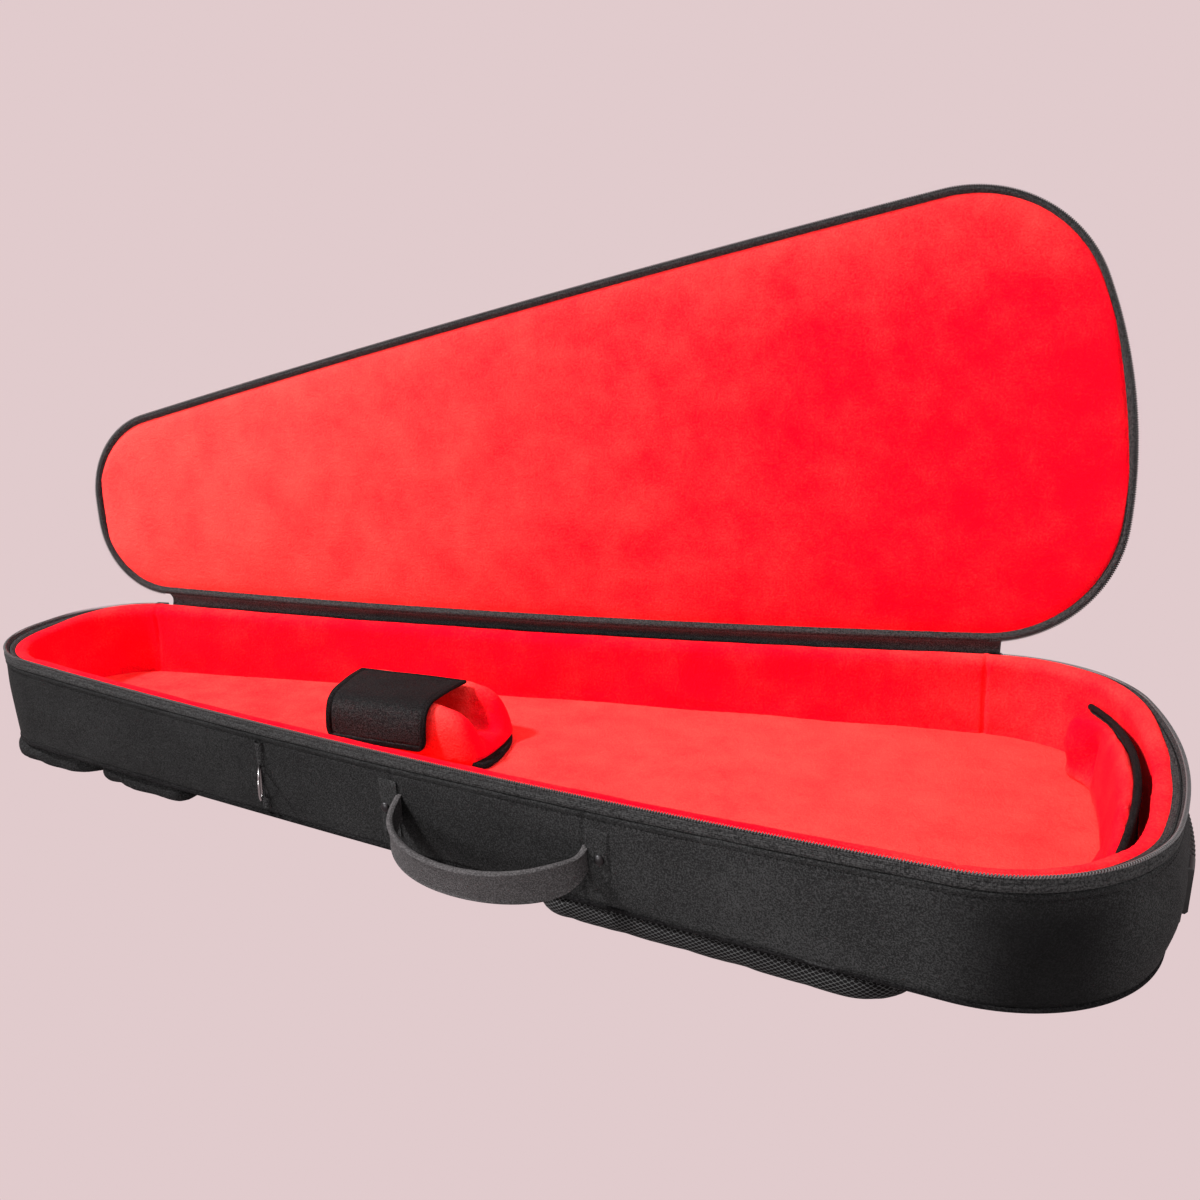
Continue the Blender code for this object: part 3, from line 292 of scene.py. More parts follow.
class Sock:
    """A shader value that can be added, multiplied and so on."""

    def __init__(self, tree, socket):
        self.tree, self.socket = tree, socket

    def math(self, op, *others):
        node = self.tree.nodes.new("ShaderNodeMath")
        node.operation = op
        for slot, value in zip(node.inputs, (self, *others)):
            feed(self.tree, slot, value)
        return Sock(self.tree, node.outputs[0])

    def __add__(self, o): return self.math("ADD", o)
    def __sub__(self, o): return self.math("SUBTRACT", o)
    def __mul__(self, o): return self.math("MULTIPLY", o)
    def sin(self): return self.math("SINE")
    def abs(self): return self.math("ABSOLUTE")

    def smooth(self, a, b):
        """Smooth step from 0 at a to 1 at b, also where b is the lower."""
        node = self.tree.nodes.new("ShaderNodeMapRange")
        node.interpolation_type = "SMOOTHSTEP"
        feed(self.tree, node.inputs["Value"], self)
        node.inputs["From Min"].default_value = a
        node.inputs["From Max"].default_value = b
        return Sock(self.tree, node.outputs["Result"])


class Look:
    """A material under construction."""

    def __init__(self, name):
        self.mat = bpy.data.materials.new(name)
        self.mat.use_nodes = True
        self.tree = self.mat.node_tree
        self.shader = self.tree.nodes["Principled BSDF"]

    def add(self, kind, out, **inputs):
        node = self.tree.nodes.new(kind)
        for key, value in inputs.items():
            feed(self.tree, node.inputs[key], value)
        return Sock(self.tree, node.outputs[out])

    def coords(self, kind="Object"):
        return self.add("ShaderNodeTexCoord", kind)

    def parts(self, vector):
        node = self.tree.nodes.new("ShaderNodeSeparateXYZ")
        feed(self.tree, node.inputs[0], vector)
        return [Sock(self.tree, o) for o in node.outputs]

    def noise(self, vector, scale, detail=3.0, rough=0.55):
        return self.add("ShaderNodeTexNoise", "Fac", Vector=vector, Scale=scale, Detail=detail,
                        Roughness=rough)

    def mix(self, factor, a, b):
        node = self.tree.nodes.new("ShaderNodeMix")
        node.data_type = "RGBA"
        for index, value in ((0, factor), (6, a), (7, b)):
            feed(self.tree, node.inputs[index], value)
        return Sock(self.tree, node.outputs[2])

    def bump(self, height, strength, distance, **after):
        return self.add("ShaderNodeBump", 0, Strength=strength, Distance=distance, Height=height,
                        **after)

    def set(self, **values):
        for key, value in values.items():
            feed(self.tree, self.shader.inputs[key.replace("_", " ")], value)


def nylon(name, dark=(0.0110, 0.0109, 0.0110), light=(0.038, 0.0375, 0.038), pitch=0.0011,
          rough=0.72, zone=None):
    """Plain-woven black cloth: two crossed sets of threads and a fine grain, darker by zone."""
    look = Look(name)
    obj = look.coords()
    u, v, _ = look.parts(look.coords("UV"))
    k = TURN / pitch
    weave = (u * k).sin() * (v * k).sin()
    grain = look.noise(obj, 900.0, 2.0, 0.7)
    tone = grain * 0.85 + look.noise(obj, 14.0, 3.0) * 0.15
    colour = look.mix(tone.smooth(0.40, 0.66), dark, light)
    # The zone mixes in near black: painted shade on the near wall, a darker top on the neck strap.
    if zone:
        colour = look.mix(zone(*look.parts(obj)), colour, (0.003, 0.0029, 0.003))
    look.set(Base_Color=colour, Roughness=rough, Specular_IOR_Level=0.02)
    look.set(Normal=look.bump(grain, 0.8, 0.0009, Normal=look.bump(weave, 0.5, 0.0003)))
    return look.mat


def plush(name, zone, brush=22.0):
    """Short red pile: zone says where it is painted lighter, as painted light, and brushed patches
    and tufts break it.
    """
    look = Look(name)
    obj = look.coords()
    brushed = look.noise(obj, brush, 4.0, 0.6)
    tuft = look.noise(obj, 520.0, 3.0, 0.7)
    tone = zone(*look.parts(obj)) * 0.70 + (brushed - 0.5) * 0.75 + (tuft - 0.5) * 0.75
    # From a deep crimson standing for the pile in shade to a lighter red standing for it in the
    # light: painted shade and painted light set by the zone, with random brushed patches and tufts
    # on top.
    colour = look.mix(tone.smooth(-0.15, 0.95), (0.88, 0.0, 0.011), (0.94, 0.056, 0.046))
    look.set(Base_Color=colour, Roughness=0.95, Specular_IOR_Level=0.05)
    look.set(Sheen_Weight=0.05, Sheen_Roughness=0.35, Sheen_Tint=(1.0, 0.25, 0.22))
    look.set(Normal=look.bump(tuft + brushed * 1.2, 0.7, 0.0022))
    return look.mat


def wall_painted_light(x, y, z):
    """Painted light and shade on the wall plush: dark on the upright wall, lighter on the roll and
    past the seam at the wide end.
    """
    roll = (z - SHIFT[2]).smooth(0.084, 0.096) * 0.32
    return roll + x.smooth(0.0, 0.19) * 0.34 + x.smooth(0.22, 0.29) * -0.22 - 0.07


def floor_painted_light(x, y, z):
    """Painted light on the floor plush: lighter all over, most so at the wide end."""
    return x.smooth(-0.9, 0.3) * 0.30 + 0.55


def lid_painted_light(x, y, z):
    """Painted light and shade on the lid plush: lighter towards the narrow end and the top edge,
    deepest at the lower wide corner.
    """
    return x.smooth(-0.75, 0.30) * -0.95 + z.smooth(0.40, 0.56) * 0.55 + 0.87


def pad_painted_light(x, y, z):
    """The end pad's painted light and shade: deep on its face, lighter along its top and foot."""
    top = (z - SHIFT[2]).smooth(0.072, 0.088) * 0.65
    return top + (z - SHIFT[2]).smooth(0.040, 0.024) * 0.45 - 0.05


def cradle_painted_light(x, y, z):
    """The neck block's painted light and shade: lighter on its cheeks, deep where it slopes down at
    its right end.
    """
    # Painted shade in the channel towards the right end.
    inner = y.smooth(-0.043, -0.026) * x.smooth(-0.290, -0.270) * -0.62
    slope = x.smooth(-0.262, -0.248) * -0.45
    return inner + slope + (z - SHIFT[2]).smooth(0.055, 0.075) * 0.22 + 0.70


def shell_painted_shade(x, y, z):
    """Painted shade on the near wall: deepest low down where it turns into the wide end, and a
    little leftwards.
    """
    turn = x.smooth(0.140, 0.215) * x.smooth(0.285, 0.240)
    turn = turn * y.smooth(-0.060, -0.110) * z.smooth(0.120, 0.075)
    return turn * 0.78 + x.smooth(0.10, -0.45) * 0.42


def strap_zone(x, y, z):
    """The neck strap: darker on its top than down its side."""
    return (z - SHIFT[2]).smooth(CRADLE_TOP - 0.006, CRADLE_TOP + 0.002) * 0.62


def plain(name, colour, rough, metal=0.0, grain=0.0, spec=0.5):
    """Plain finish, with an optional fine grain in the bump."""
    look = Look(name)
    look.set(Base_Color=colour, Roughness=rough, Metallic=metal, Specular_IOR_Level=spec)
    if grain:
        look.set(Normal=look.bump(look.noise(look.coords(), 400.0, 3.0), grain, 0.0006))
    return look.mat


def ribbed_tape(name):
    """Zip tape: ribs along its length and a fine cross grain."""
    look = Look(name)
    u, v, _ = look.parts(look.coords("UV"))
    ribs = (v * (TURN / 0.0016)).sin() + (u * (TURN / 0.0012)).sin() * 0.6
    grain = look.noise(look.coords(), 700.0, 2.0)
    dark, light = (0.0105, 0.0102, 0.0104), (0.045, 0.0436, 0.0440)
    look.set(Base_Color=look.mix(grain.smooth(0.3, 0.7), dark, light))
    look.set(Roughness=0.78, Specular_IOR_Level=0.03)
    look.set(Normal=look.bump(ribs + grain, 0.4, 0.0004))
    return look.mat


def spacer_mesh(name):
    """Air mesh: rows of open cells painted near black, as painted shade down in them, over a
    lighter knit.
    """
    look = Look(name)
    u, v, _ = look.parts(look.coords("UV"))
    k = math.pi / 0.0029
    holes = ((u * 0.62 + v) * k).sin().abs() * ((u * 0.62 - v) * k).sin().abs()
    holes = holes.smooth(0.16, 0.36)
    # The open cells are real; their near-black colour is painted shade.
    look.set(Base_Color=look.mix(holes, (0.047, 0.046, 0.0465), (0.0012, 0.0012, 0.0012)))
    look.set(Roughness=0.8, Specular_IOR_Level=0.1, Normal=look.bump(holes, 0.9, -0.0015))
    return look.mat


NYLON = nylon("nylon")
# The near wall's nylon, with painted shade mixed in towards near black.
SHELL_PAINTED_SHADE = nylon("nylon_shell_painted_shade", zone=shell_painted_shade)
STRAP_CLOTH = nylon("strap_cloth", (0.009, 0.0087, 0.009), (0.042, 0.0410, 0.0415), 0.0009, 0.78,
                    strap_zone)
NYLON_SOFT = nylon("nylon_soft", (0.010, 0.0096, 0.010), (0.046, 0.0450, 0.0455), 0.0009, 0.78)
BINDING = nylon("binding", (0.003, 0.0028, 0.003), (0.016, 0.015, 0.0155), 0.0008, 0.7)
# A lighter copy of the nylon for the hinge strip, which lies in shade: painted light.
GUSSET_PAINTED_LIGHT = nylon("gusset_cloth_painted_light", (0.024, 0.023, 0.0235), (0.100, 0.097, 0.098), 0.0010, 0.75)
GRIP = nylon("grip_webbing", (0.038, 0.035, 0.0355), (0.092, 0.085, 0.087), 0.0010, 0.7)
PAD_CLOTH = nylon("pad_cloth", (0.005, 0.0049, 0.005), (0.024, 0.0235, 0.024), 0.0010, 0.76)
TAPE = ribbed_tape("zip_tape")
TEETH = plain("zip_teeth", (0.024, 0.023, 0.023), 0.30, spec=0.30)
# Lighter copy of the teeth for the base: a painted highlight for the glints along its near side.
TEETH_PAINTED_GLINT = plain("zip_teeth_painted_glint", (0.068, 0.064, 0.065), 0.35, spec=0.3)
# Lit and shaded copies of one red plush, each with its own painted light and shade.
PLUSH = plush("red_plush", wall_painted_light)
PLUSH_FLOOR = plush("red_plush_floor", floor_painted_light, 25.0)
PLUSH_PAD = plush("red_plush_pad", pad_painted_light, 27.0)
PLUSH_BLOCK = plush("red_plush_block", cradle_painted_light, 26.0)
PLUSH_LID = plush("red_plush_lid", lid_painted_light, 23.7)
MESH = spacer_mesh("air_mesh")
RUBBER = plain("rubber", (0.010, 0.010, 0.010), 0.62, grain=0.2, spec=0.3)
STEEL = plain("ring_steel", (0.24, 0.235, 0.235), 0.26, 1.0)
DARK = plain("dark_metal", (0.030, 0.030, 0.031), 0.42, 1.0)

# the record's slots; the first of each is also for the CAD nodes that show
LOOKS = {
    "nylon": (NYLON, SHELL_PAINTED_SHADE, STRAP_CLOTH, NYLON_SOFT, BINDING, GUSSET_PAINTED_LIGHT, GRIP, PAD_CLOTH),
    "red_plush": (PLUSH, PLUSH_FLOOR, PLUSH_PAD, PLUSH_BLOCK, PLUSH_LID),
    "zip_tape": (TAPE,), "zip_coil": (TEETH, TEETH_PAINTED_GLINT), "air_mesh": (MESH,),
    "rubber": (RUBBER,), "ring_steel": (STEEL,), "dark_metal": (DARK,),
}
SLOT_OF = {mat.name: slot for slot, mats in LOOKS.items() for mat in mats}


# ---- mesh builders

def read(items, key, kind=np.float32, width=1):
    """One property of all the vertices, faces or corners as an array."""
    values = np.empty(len(items) * width, kind)
    items.foreach_get(key, values)
    return values if width == 1 else values.reshape(-1, width).astype(float)


def linked(name, data):
    obj = bpy.data.objects.new(name, data)
    bpy.context.scene.collection.objects.link(obj)
    return obj


def mesh_from(name, verts, faces, mat, body, uvs=None, smooth=True):
    """Object at the origin from points in drawn coordinates, riding on a body."""
    mesh = bpy.data.meshes.new(name)
    mesh.from_pydata((np.asarray(verts) + SHIFT).tolist(), [], faces)
    mesh.polygons.foreach_set("use_smooth", [smooth] * len(mesh.polygons))
    if uvs is not None:
        layer = mesh.uv_layers.new(name="UVMap")
        index = read(mesh.loops, "vertex_index", np.int32)
        layer.data.foreach_set("uv", uvs[index].astype(np.float32).ravel())
    mesh.update()
    mesh.materials.append(mat)
    obj = linked(name, mesh)
    if body:
        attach(obj, body)
    mat.name in SLOT_OF
    return obj


def surf(name, grid, mat, body, closed=""):
    """Surface through a grid of points (nu, nv, 3), closed round u, v or both.

    UVs are lengths in metres along it. One closed round v alone gets a flat face at both ends.
    """
    grid = np.asarray(grid, float)
    nu, nv = grid.shape[:2]
    index = np.arange(nu * nv).reshape(nu, nv)
    rows = np.vstack([index, index[:1]]) if "u" in closed else index
    rows = np.hstack([rows, rows[:, :1]]) if "v" in closed else rows
    faces = np.stack([rows[:-1, :-1], rows[1:, :-1], rows[1:, 1:], rows[:-1, 1:]], -1)
    faces = faces.reshape(-1, 4).tolist()
    if closed == "v":
        faces += [index[0].tolist(), index[-1][::-1].tolist()]
    du = np.linalg.norm(np.diff(grid[:, nv // 2], axis=0), axis=1)
    du = np.repeat(np.r_[0, np.cumsum(du)][:, None], nv, 1)
    dv = np.cumsum(np.linalg.norm(np.diff(grid, axis=1), axis=2), 1)
    uvs = np.stack([du, np.concatenate([np.zeros((nu, 1)), dv], 1)], -1).reshape(-1, 2)
    return mesh_from(name, grid.reshape(-1, 3), faces, mat, body, uvs)


def tube(name, points, radius, mat, body, sides, loop=False):
    """Cord along points: p + r(cos t n + sin t b), with n and b carried along it."""
    p = np.asarray(points, float)
    t = unit(np.roll(p, -1, 0) - np.roll(p, 1, 0) if loop else np.gradient(p, axis=0))
    n = np.cross(t[0], UP)
    if np.linalg.norm(n) < 0.1:
        n = np.cross(t[0], [0.0, 1.0, 0.0])
    normals = []
    for along in t:
        n = unit(n - along * (n @ along))
        normals.append(n)
    n = np.array(normals)
    turn = np.linspace(0, TURN, sides, endpoint=False)[None, :, None]
    side = np.cos(turn) * n[:, None] + np.sin(turn) * np.cross(t, n)[:, None]
    return surf(name, p[:, None] + radius * side, mat, body, "uv" if loop else "v")


def beads(name, centres, a, b, c, mat, body, turn=False):
    """Small octahedral beads with half-axes a, b and c."""
    a, b, c = (np.broadcast_to(v, centres.shape) for v in (a, b, c))
    v = np.stack([centres + a, centres + b, centres + c, centres - b, centres - c, centres - a], 1)
    base = np.arange(len(centres))[:, None, None] * 6
    tri = np.array([[0, 1, 2], [0, 2, 3], [0, 3, 4], [0, 4, 1],
                    [5, 2, 1], [5, 3, 2], [5, 4, 3], [5, 1, 4]])
    faces = (base + tri[None]).reshape(-1, 3).tolist()
    return mesh_from(name, (turned(v) if turn else v).reshape(-1, 3), faces, mat, body)


def teeth(name, inset, lift, turn, body, node, mat):
    """Coil teeth: a small upright ring at every pitch, c + R(cos t out + sin t up) + r(...)."""
    reach, rise, lean, wire = 0.0012, 0.00085, 0.0005, 0.00042
    around_ring, around_wire = 9, 5
    mid = np.arange(HINGE_TO + ZIP_STOP, PERIM + HINGE_FROM - ZIP_STOP, TOOTH_PITCH)
    x, y, a = plan(mid, inset)
    out, along = (v[:, None] for v in facing(a))
    centre = points(x, y, rim(x) + lift)[:, None]
    t = np.linspace(0, TURN, around_ring, endpoint=False)[:, None]
    q = np.linspace(0, TURN, around_wire, endpoint=False)[:, None]
    spoke = np.cos(t) * out + np.sin(t) * UP
    ring = centre + reach * np.cos(t) * out + rise * np.sin(t) * UP + lean * np.sin(t) * along
    v = ring[:, :, None] + wire * (np.cos(q) * spoke[:, :, None] + np.sin(q) * along[:, :, None])
    i = np.arange(around_ring * around_wire).reshape(around_ring, around_wire)
    j = np.roll(i, -1, 0)
    quad = np.stack([i, j, np.roll(j, -1, 1), np.roll(i, -1, 1)], -1).reshape(-1, 4)
    faces = (np.arange(len(mid))[:, None, None] * i.size + quad[None]).reshape(-1, 4).tolist()
    obj = mesh_from(name, (turned(v) if turn else v).reshape(-1, 3), faces, mat, body)
    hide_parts(node)


def box_uv(mesh):
    """Metres across each face's flattest side, for a weave on a remeshed piece."""
    uv = mesh.uv_layers.new(name="UVMap")
    corner = read(mesh.loops, "vertex_index", np.int32)
    flattest = np.argmax(np.abs(read(mesh.polygons, "normal", width=3)), 1)
    which = np.repeat(flattest, read(mesh.polygons, "loop_total", np.int32))
    first, second = np.array([1, 0, 0])[which], np.array([2, 2, 1])[which]
    co = read(mesh.vertices, "co", width=3)
    uv.data.foreach_set("uv", np.stack([co[corner, first], co[corner, second]], 1).ravel())


def swell(obj, voxel, pressure, cap, low, high=1.0, held=None, frames=14):
    """Short cloth run: the pad is remeshed and swells under pressure.

    Its foot is held below height held, no point moves past cap, and all stay from low to high.
    """
    scene = bpy.context.scene
    even = obj.modifiers.new("even", "REMESH")
    even.mode = "VOXEL"
    even.voxel_size = voxel
    shaped = obj.evaluated_get(bpy.context.evaluated_depsgraph_get())
    mesh = bpy.data.meshes.new_from_object(shaped)
    obj.modifiers.clear()
    obj.data = mesh
    start = read(mesh.vertices, "co", width=3)
    foot = obj.vertex_groups.new(name="foot")
    if held is not None:
        foot.add(np.nonzero(start[:, 2] < held + SHIFT[2])[0].tolist(), 1.0, "REPLACE")
    cloth = obj.modifiers.new("swell", "CLOTH")
    cloth.settings.use_pressure = True
    cloth.settings.uniform_pressure_force = pressure
    cloth.settings.effector_weights.gravity = 0
    cloth.settings.vertex_group_mass = "foot"
    cloth.collision_settings.use_self_collision = False
    for frame_number in range(1, frames + 1):
        scene.frame_set(frame_number)
    blown = obj.evaluated_get(bpy.context.evaluated_depsgraph_get()).data
    move = read(blown.vertices, "co", width=3) - start
    move *= np.minimum(1, cap / np.maximum(np.linalg.norm(move, axis=1), 1e-9))[:, None]
    end = start + move
    end[:, 2] = np.clip(end[:, 2], low + SHIFT[2], high + SHIFT[2])
    obj.modifiers.clear()
    obj.vertex_groups.clear()
    scene.frame_set(1)
    mesh.vertices.foreach_set("co", end.ravel())
    mesh.update()
    box_uv(mesh)
    mesh.polygons.foreach_set("use_smooth", [True] * len(mesh.polygons))
    finish = obj.modifiers.new("finish", "SUBSURF")
    finish.levels = finish.render_levels = 1


# ---- base shell

def seams(x, y):
    """Depth of the wall's upright seams at the handle and ring, on the near side only."""
    return sum(bell(x, at, SEAM_WIDTH) for at in SEAMS_X) * (y < 0)


def end_fullness(x, share):
    """How much farther out the wall stands at the wide end, share of the way up it."""
    up = np.sin(math.pi * np.clip(share / 0.92, 0, 1))
    return 0.0058 * ease((x - 0.480) / 0.065) * up ** 1.1


def build_base():
    """Wall: share of its height against s, inset by draft less bulge, waves and ridges."""
    s = around(1400)
    x, y, _ = plan(s[:, None])
    share = np.concatenate([np.linspace(0, 0.10, 8), np.linspace(0.14, 0.86, 14),
                            np.linspace(0.88, 1, 14)])

    def height(x, y):
        return WALL_FOOT + (rim(x) - BAND - WALL_FOOT) * share

    h = height(x, y)
    down = rim(x) - BAND - h
    puff = 1 + 0.35 * field(s[:, None], 0.0, 3, 0.16)
    bulge = 0.0013 * np.sin(math.pi * share) * puff + end_fullness(x, share)
    wave = 0.00045 * field(s[:, None], h * 1.6, 5, 0.07)
    ridge = 0.0007 * bell(down, 0.0022, 0.0016)
    groove = 0.0005 * bell(down, 0.0056, 0.0006)
    tuck = 0.0013 * bell(down, 0.0, 0.0008) + 0.0012 * bell(h, 0.0034, 0.0007)
    inset = wall_inset(x, h) - bulge - wave - ridge + groove + tuck + 0.0011 * seams(x, y)
    wall = [ring_grid(s, inset, height),
            ring_grid(s, wall_inset(x, rim(x) - BAND) + 0.0022, lambda x, y: rim(x) - BAND),
            ring_grid(s, wall_inset(x, WALL_FOOT) + 0.0030, WALL_FOOT)]
    obj = surf("shell_wall", np.concatenate(wall, 1), SHELL_PAINTED_SHADE, "base", "uv")
    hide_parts("side_panel", "wall_foam", "floor_foam")
    down, out = np.array([
        (0.0120, -0.0010), (0.0114, 0.0000), (0.0106, 0.0006), (0.0084, 0.0008), (0.0070, 0.0008),
        (0.0061, 0.0007), (0.0055, 0.0001), (0.0049, 0.0006), (0.0036, 0.0005), (0.0029, 0.0004),
        (0.0025, 0.0001)]).T
    wave = 0.0002 * field(s[:, None], down * 3, 8, 0.05) * (out > 0)
    tape = [ring_grid(s, DRAFT * down / RIM - out - wave, lambda x, y: rim(x) - down),
            rim_rows(s, [(0.0004, -0.0022), (0.0012, -0.0020), (0.0024, -0.0022),
                         (0.0036, -0.0027), (0.0041, -0.0046), (0.0047, -0.0048),
                         (0.0053, -0.0034), (0.0075, -0.0046), (0.0105, -0.0062),
                         (ROLL_SEAM, -0.0080), (ROLL_SEAM, -0.0100), (0.0060, -0.0100),
                         (0.0030, -0.0117)])]
    obj = surf("rim_tape", np.concatenate(tape, 1), TAPE, "base", "uv")
    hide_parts("rim_band")
    build_stitches()
    # The base teeth take the lighter copy, a painted highlight.
    teeth("base_teeth", inset=0.0008, lift=-0.0011, turn=False, body="base", node="base_zip_coil",
          mat=TEETH_PAINTED_GLINT)
    piping = ring_grid(s, DRAFT + 0.0009, 0.0012)[:, 0]
    obj = tube("foot_piping", piping, 0.0019, BINDING, "base", 8, loop=True)
    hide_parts("bottom_piping")


def build_stitches(pitch=0.0042):
    """Dashes of thread round the wall's upper seam, each a short flattened bead."""
    mid = (np.arange(int(PERIM / pitch)) + 0.5) * pitch
    x = plan(mid)[0]
    z = rim(x) - BAND - 0.0056
    x, y, a = plan(mid, wall_inset(x, rim(x) - BAND) + 0.0002)
    out, along = facing(a)
    beads("seam_stitches", points(x, y, z), along * pitch * 0.34, out * 0.00032,
          UP * 0.00030, BINDING, "base")


# ---- plush lining of the base

def far_side(y):
    """0 on the near side to 1 on the far side, where the lid pulls the roll out and up."""
    return ease((y + 0.02) / 0.12)


def roll_out(x, y):
    """How far the roll spreads over the zip tape: on the far side and round both ends."""
    ends = np.maximum(np.clip((-0.43 - x) / 0.10, 0, 1), np.clip((x - 0.475) / 0.065, 0, 1) * 0.60)
    return np.maximum(far_side(y), ease(ends))


def build_lining():
    """Upright plush wall, then a roll: inset = c + r cos t and z = rim - d + h sin t."""
    s = around(1300)
    x, y, a = plan(s[:, None])
    foot = ring_grid(s, np.array([0.0232, 0.0226, 0.0224]), np.array([0.0190, 0.0222, LINING_FOOT]))
    q = np.linspace(0.06, 1, 13)
    inset = 0.0224 - 0.0008 * q - 0.0010 * np.sin(math.pi * q)
    inset = inset + 0.0007 * field(s[:, None], q * 0.07, 11, 0.09)
    wall = ring_grid(s, inset, lambda x, y: LINING_FOOT + (rim(x) - ROLL_SEAM - LINING_FOOT) * q)
    t = math.pi * np.linspace(0.08, 1.0, 15)
    spread = 0.0034 * roll_out(x, y)
    inset = 0.0165 - spread + (0.0056 + spread) * np.cos(t) - 0.0008 * np.maximum(0, -np.cos(t))
    inset = inset + 0.0004 * field(s[:, None], t * 0.01, 13, 0.05)
    wave = 0.0003 * field(s[:, None], t * 0.01, 14, 0.06)
    roll = ring_grid(s, inset, lambda x, y: rim(x) - 0.0118 + wave
                     + (0.0064 + 0.0080 * far_side(y)) * np.sin(t) ** 0.85)
    last = ring_grid(s, 0.0112 - 0.0068 * roll_out(x, y), lambda x, y: rim(x) - 0.0150)
    grid = np.concatenate([foot, wall, roll, last], 1)
    seam = 2.0 * bell(grid[..., 0], 0.4070, 0.0020) + 0.9 * bell(grid[..., 0], -0.4750, 0.0020)
    tuft = 0.00022 * field(s[:, None], grid[..., 2], 17, 0.006, 40)
    grid = grid + facing(a)[0] * (0.0015 * seam + tuft)[..., None]
    obj = surf("wall_plush", grid, PLUSH, "base", "u")
    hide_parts("wall_lining")


def build_floor():
    """Floor plush: z over (x, y), dipping at its edge."""
    x, y = across(320, 150, FLOOR_INSET)
    d = np.maximum(edge_distance(x, y, FLOOR_TUCK), 0)
    z = FLOOR_Z + 0.0006 * field(x, y, 21, 0.14) + 0.00018 * field(x, y, 22, 0.008, 40)
    z = z - 0.0012 * bell(d, 0, 0.0040)
    obj = surf("floor_plush", points(x, y, z), PLUSH_FLOOR, "base")
    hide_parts("floor_lining")


# ---- lid

def build_lid():
    """Lid drawn closed and turned open: crowned plush, zip tape, teeth, wall, piping, front."""
    s = around(1300)
    x, y = across(330, 190, LID_PLUSH_INSET)
    d = edge_distance(x, y, LID_PLUSH_INSET)
    corner = bell(x, 0.475, 0.075) * bell(y, -0.150, 0.090) * bell(d, 0, 0.03)
    x, y = x + 0.0022 * corner, y - 0.0030 * corner
    crown = 0.0050 * (1 - np.exp(-(d / 0.045) ** 1.4))
    dip = 0.0036 * np.exp(-(d / 0.0085) ** 1.5)
    z = rim(x) + 0.0004 - crown + dip + 0.0009 * field(x, y, 31, 0.15) * np.clip(d / 0.05, 0, 1)
    z = z + 0.00016 * field(x, y, 32, 0.007, 40)
    obj = surf("lid_plush", turned(points(x, y, z)), PLUSH_LID, "lid")
    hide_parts("lid_lining", "lid_foam")
    tape = rim_rows(s, [
        (0.0000, 0.0014), (0.0006, 0.0009), (0.0016, 0.0008), (0.0024, 0.0002), (0.0034, 0.0003),
        (0.0044, 0.0008), (0.0056, 0.0020), (0.0074, 0.0034), (0.0074, 0.0042), (0.0040, 0.0030),
        (0.0012, 0.0028), (0.0000, 0.0022)])
    obj = surf("lid_tape", turned(tape), TAPE, "lid", "uv")
    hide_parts("lid_band")
    teeth("lid_teeth", inset=0.0004, lift=0.0012, turn=True, body="lid", node="lid_zip_coil",
          mat=TEETH)
    q = np.linspace(0, 1, 12)
    edge = LID_TOP - LID_CORNER
    inset = 0.0008 - 0.0010 * np.sin(math.pi * q) + 0.0006 * (q > 0.99)
    inset = inset - 0.0003 * field(s[:, None], q * 0.03, 35, 0.06)
    wall = [ring_grid(s, inset, lambda x, y: rim(x) + 0.0020 + (edge - rim(x) - 0.0020) * q),
            ring_grid(s, 0.0024, edge), rim_rows(s, [(0.0024, 0.0030)])]
    obj = surf("lid_wall", turned(np.concatenate(wall, 1)), NYLON, "lid", "uv")
    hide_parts("lid_side_panel")
    piping = turned(ring_grid(s, 0.0018, LID_TOP - 0.0022)[:, 0])
    obj = tube("front_piping", piping, 0.0021, NYLON_SOFT, "lid", 8, loop=True)
    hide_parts("lid_piping")
    x, y = across(200, 110, LID_CORNER)
    z = LID_TOP - 0.0016 + 0.0004 * field(x, y, 37, 0.12)
    obj = surf("lid_front", turned(points(x, y, z)), NYLON, "lid")
    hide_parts("lid_front_panel")


def build_gusset():
    """Hinge fabric: from behind the plush rim, up and back to the lid's wall."""
    s = np.linspace(HINGE_FROM - 0.016, HINGE_TO - 0.002, 260)
    low = rim_rows(s, [(0.0030, -0.0060), (0.0006, -0.0030), (-0.0006, 0.0005)])
    lid = turned(rim_rows(s, [(0.0002, 0.0022), (-0.0002, 0.0060), (-0.0004, 0.0150)]))
    share = np.array([0.25, 0.5, 0.75])[:, None]
    bow = np.array([0.0, 0.0022, 0.0]) * np.sin(math.pi * share)
    free = low[:, -1:] * (1 - share) + lid[:, :1] * share + bow
    grid = np.concatenate([low, free, lid], 1)
    grid[..., 2] += 0.0003 * field(s[:, None], np.arange(9)[None] * 0.01, 41, 0.04)
    back = grid[:, ::-1] + np.array([0.0, 0.0010, -0.0006])
    obj = surf("hinge_fabric", np.concatenate([grid, back], 1), GUSSET_PAINTED_LIGHT, None, "v")
    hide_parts("hinge_gusset")
    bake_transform(obj)


# ---- handle and ring

def webbing(centre, wide, half, thick, cord, trim):
    """Points p + w wide + f face, corded near each edge; trim narrows its top half."""
    face = unit(np.cross(unit(np.gradient(centre, axis=0)), wide))
    w = np.concatenate([[-1.0], np.linspace(-0.985, 0.985, 41), [1.0]]) * half
    ridge = cord * bell(np.abs(w), half - 0.0016, 0.0009)
    rounded = np.sqrt(np.maximum(1 - (np.abs(w) / half) ** 16, 0))
    f = thick / 2 * np.clip(rounded, 0.15, 1) + ridge
    w = np.concatenate([w, w[::-1]])[None]
    f = np.concatenate([f, -f[::-1]])[None]
    w = w * np.where(w > 0, 1 - trim[:, None], 1)
    return centre[:, None] + w[..., None] * wide[:, None] + f[..., None] * face[:, None]


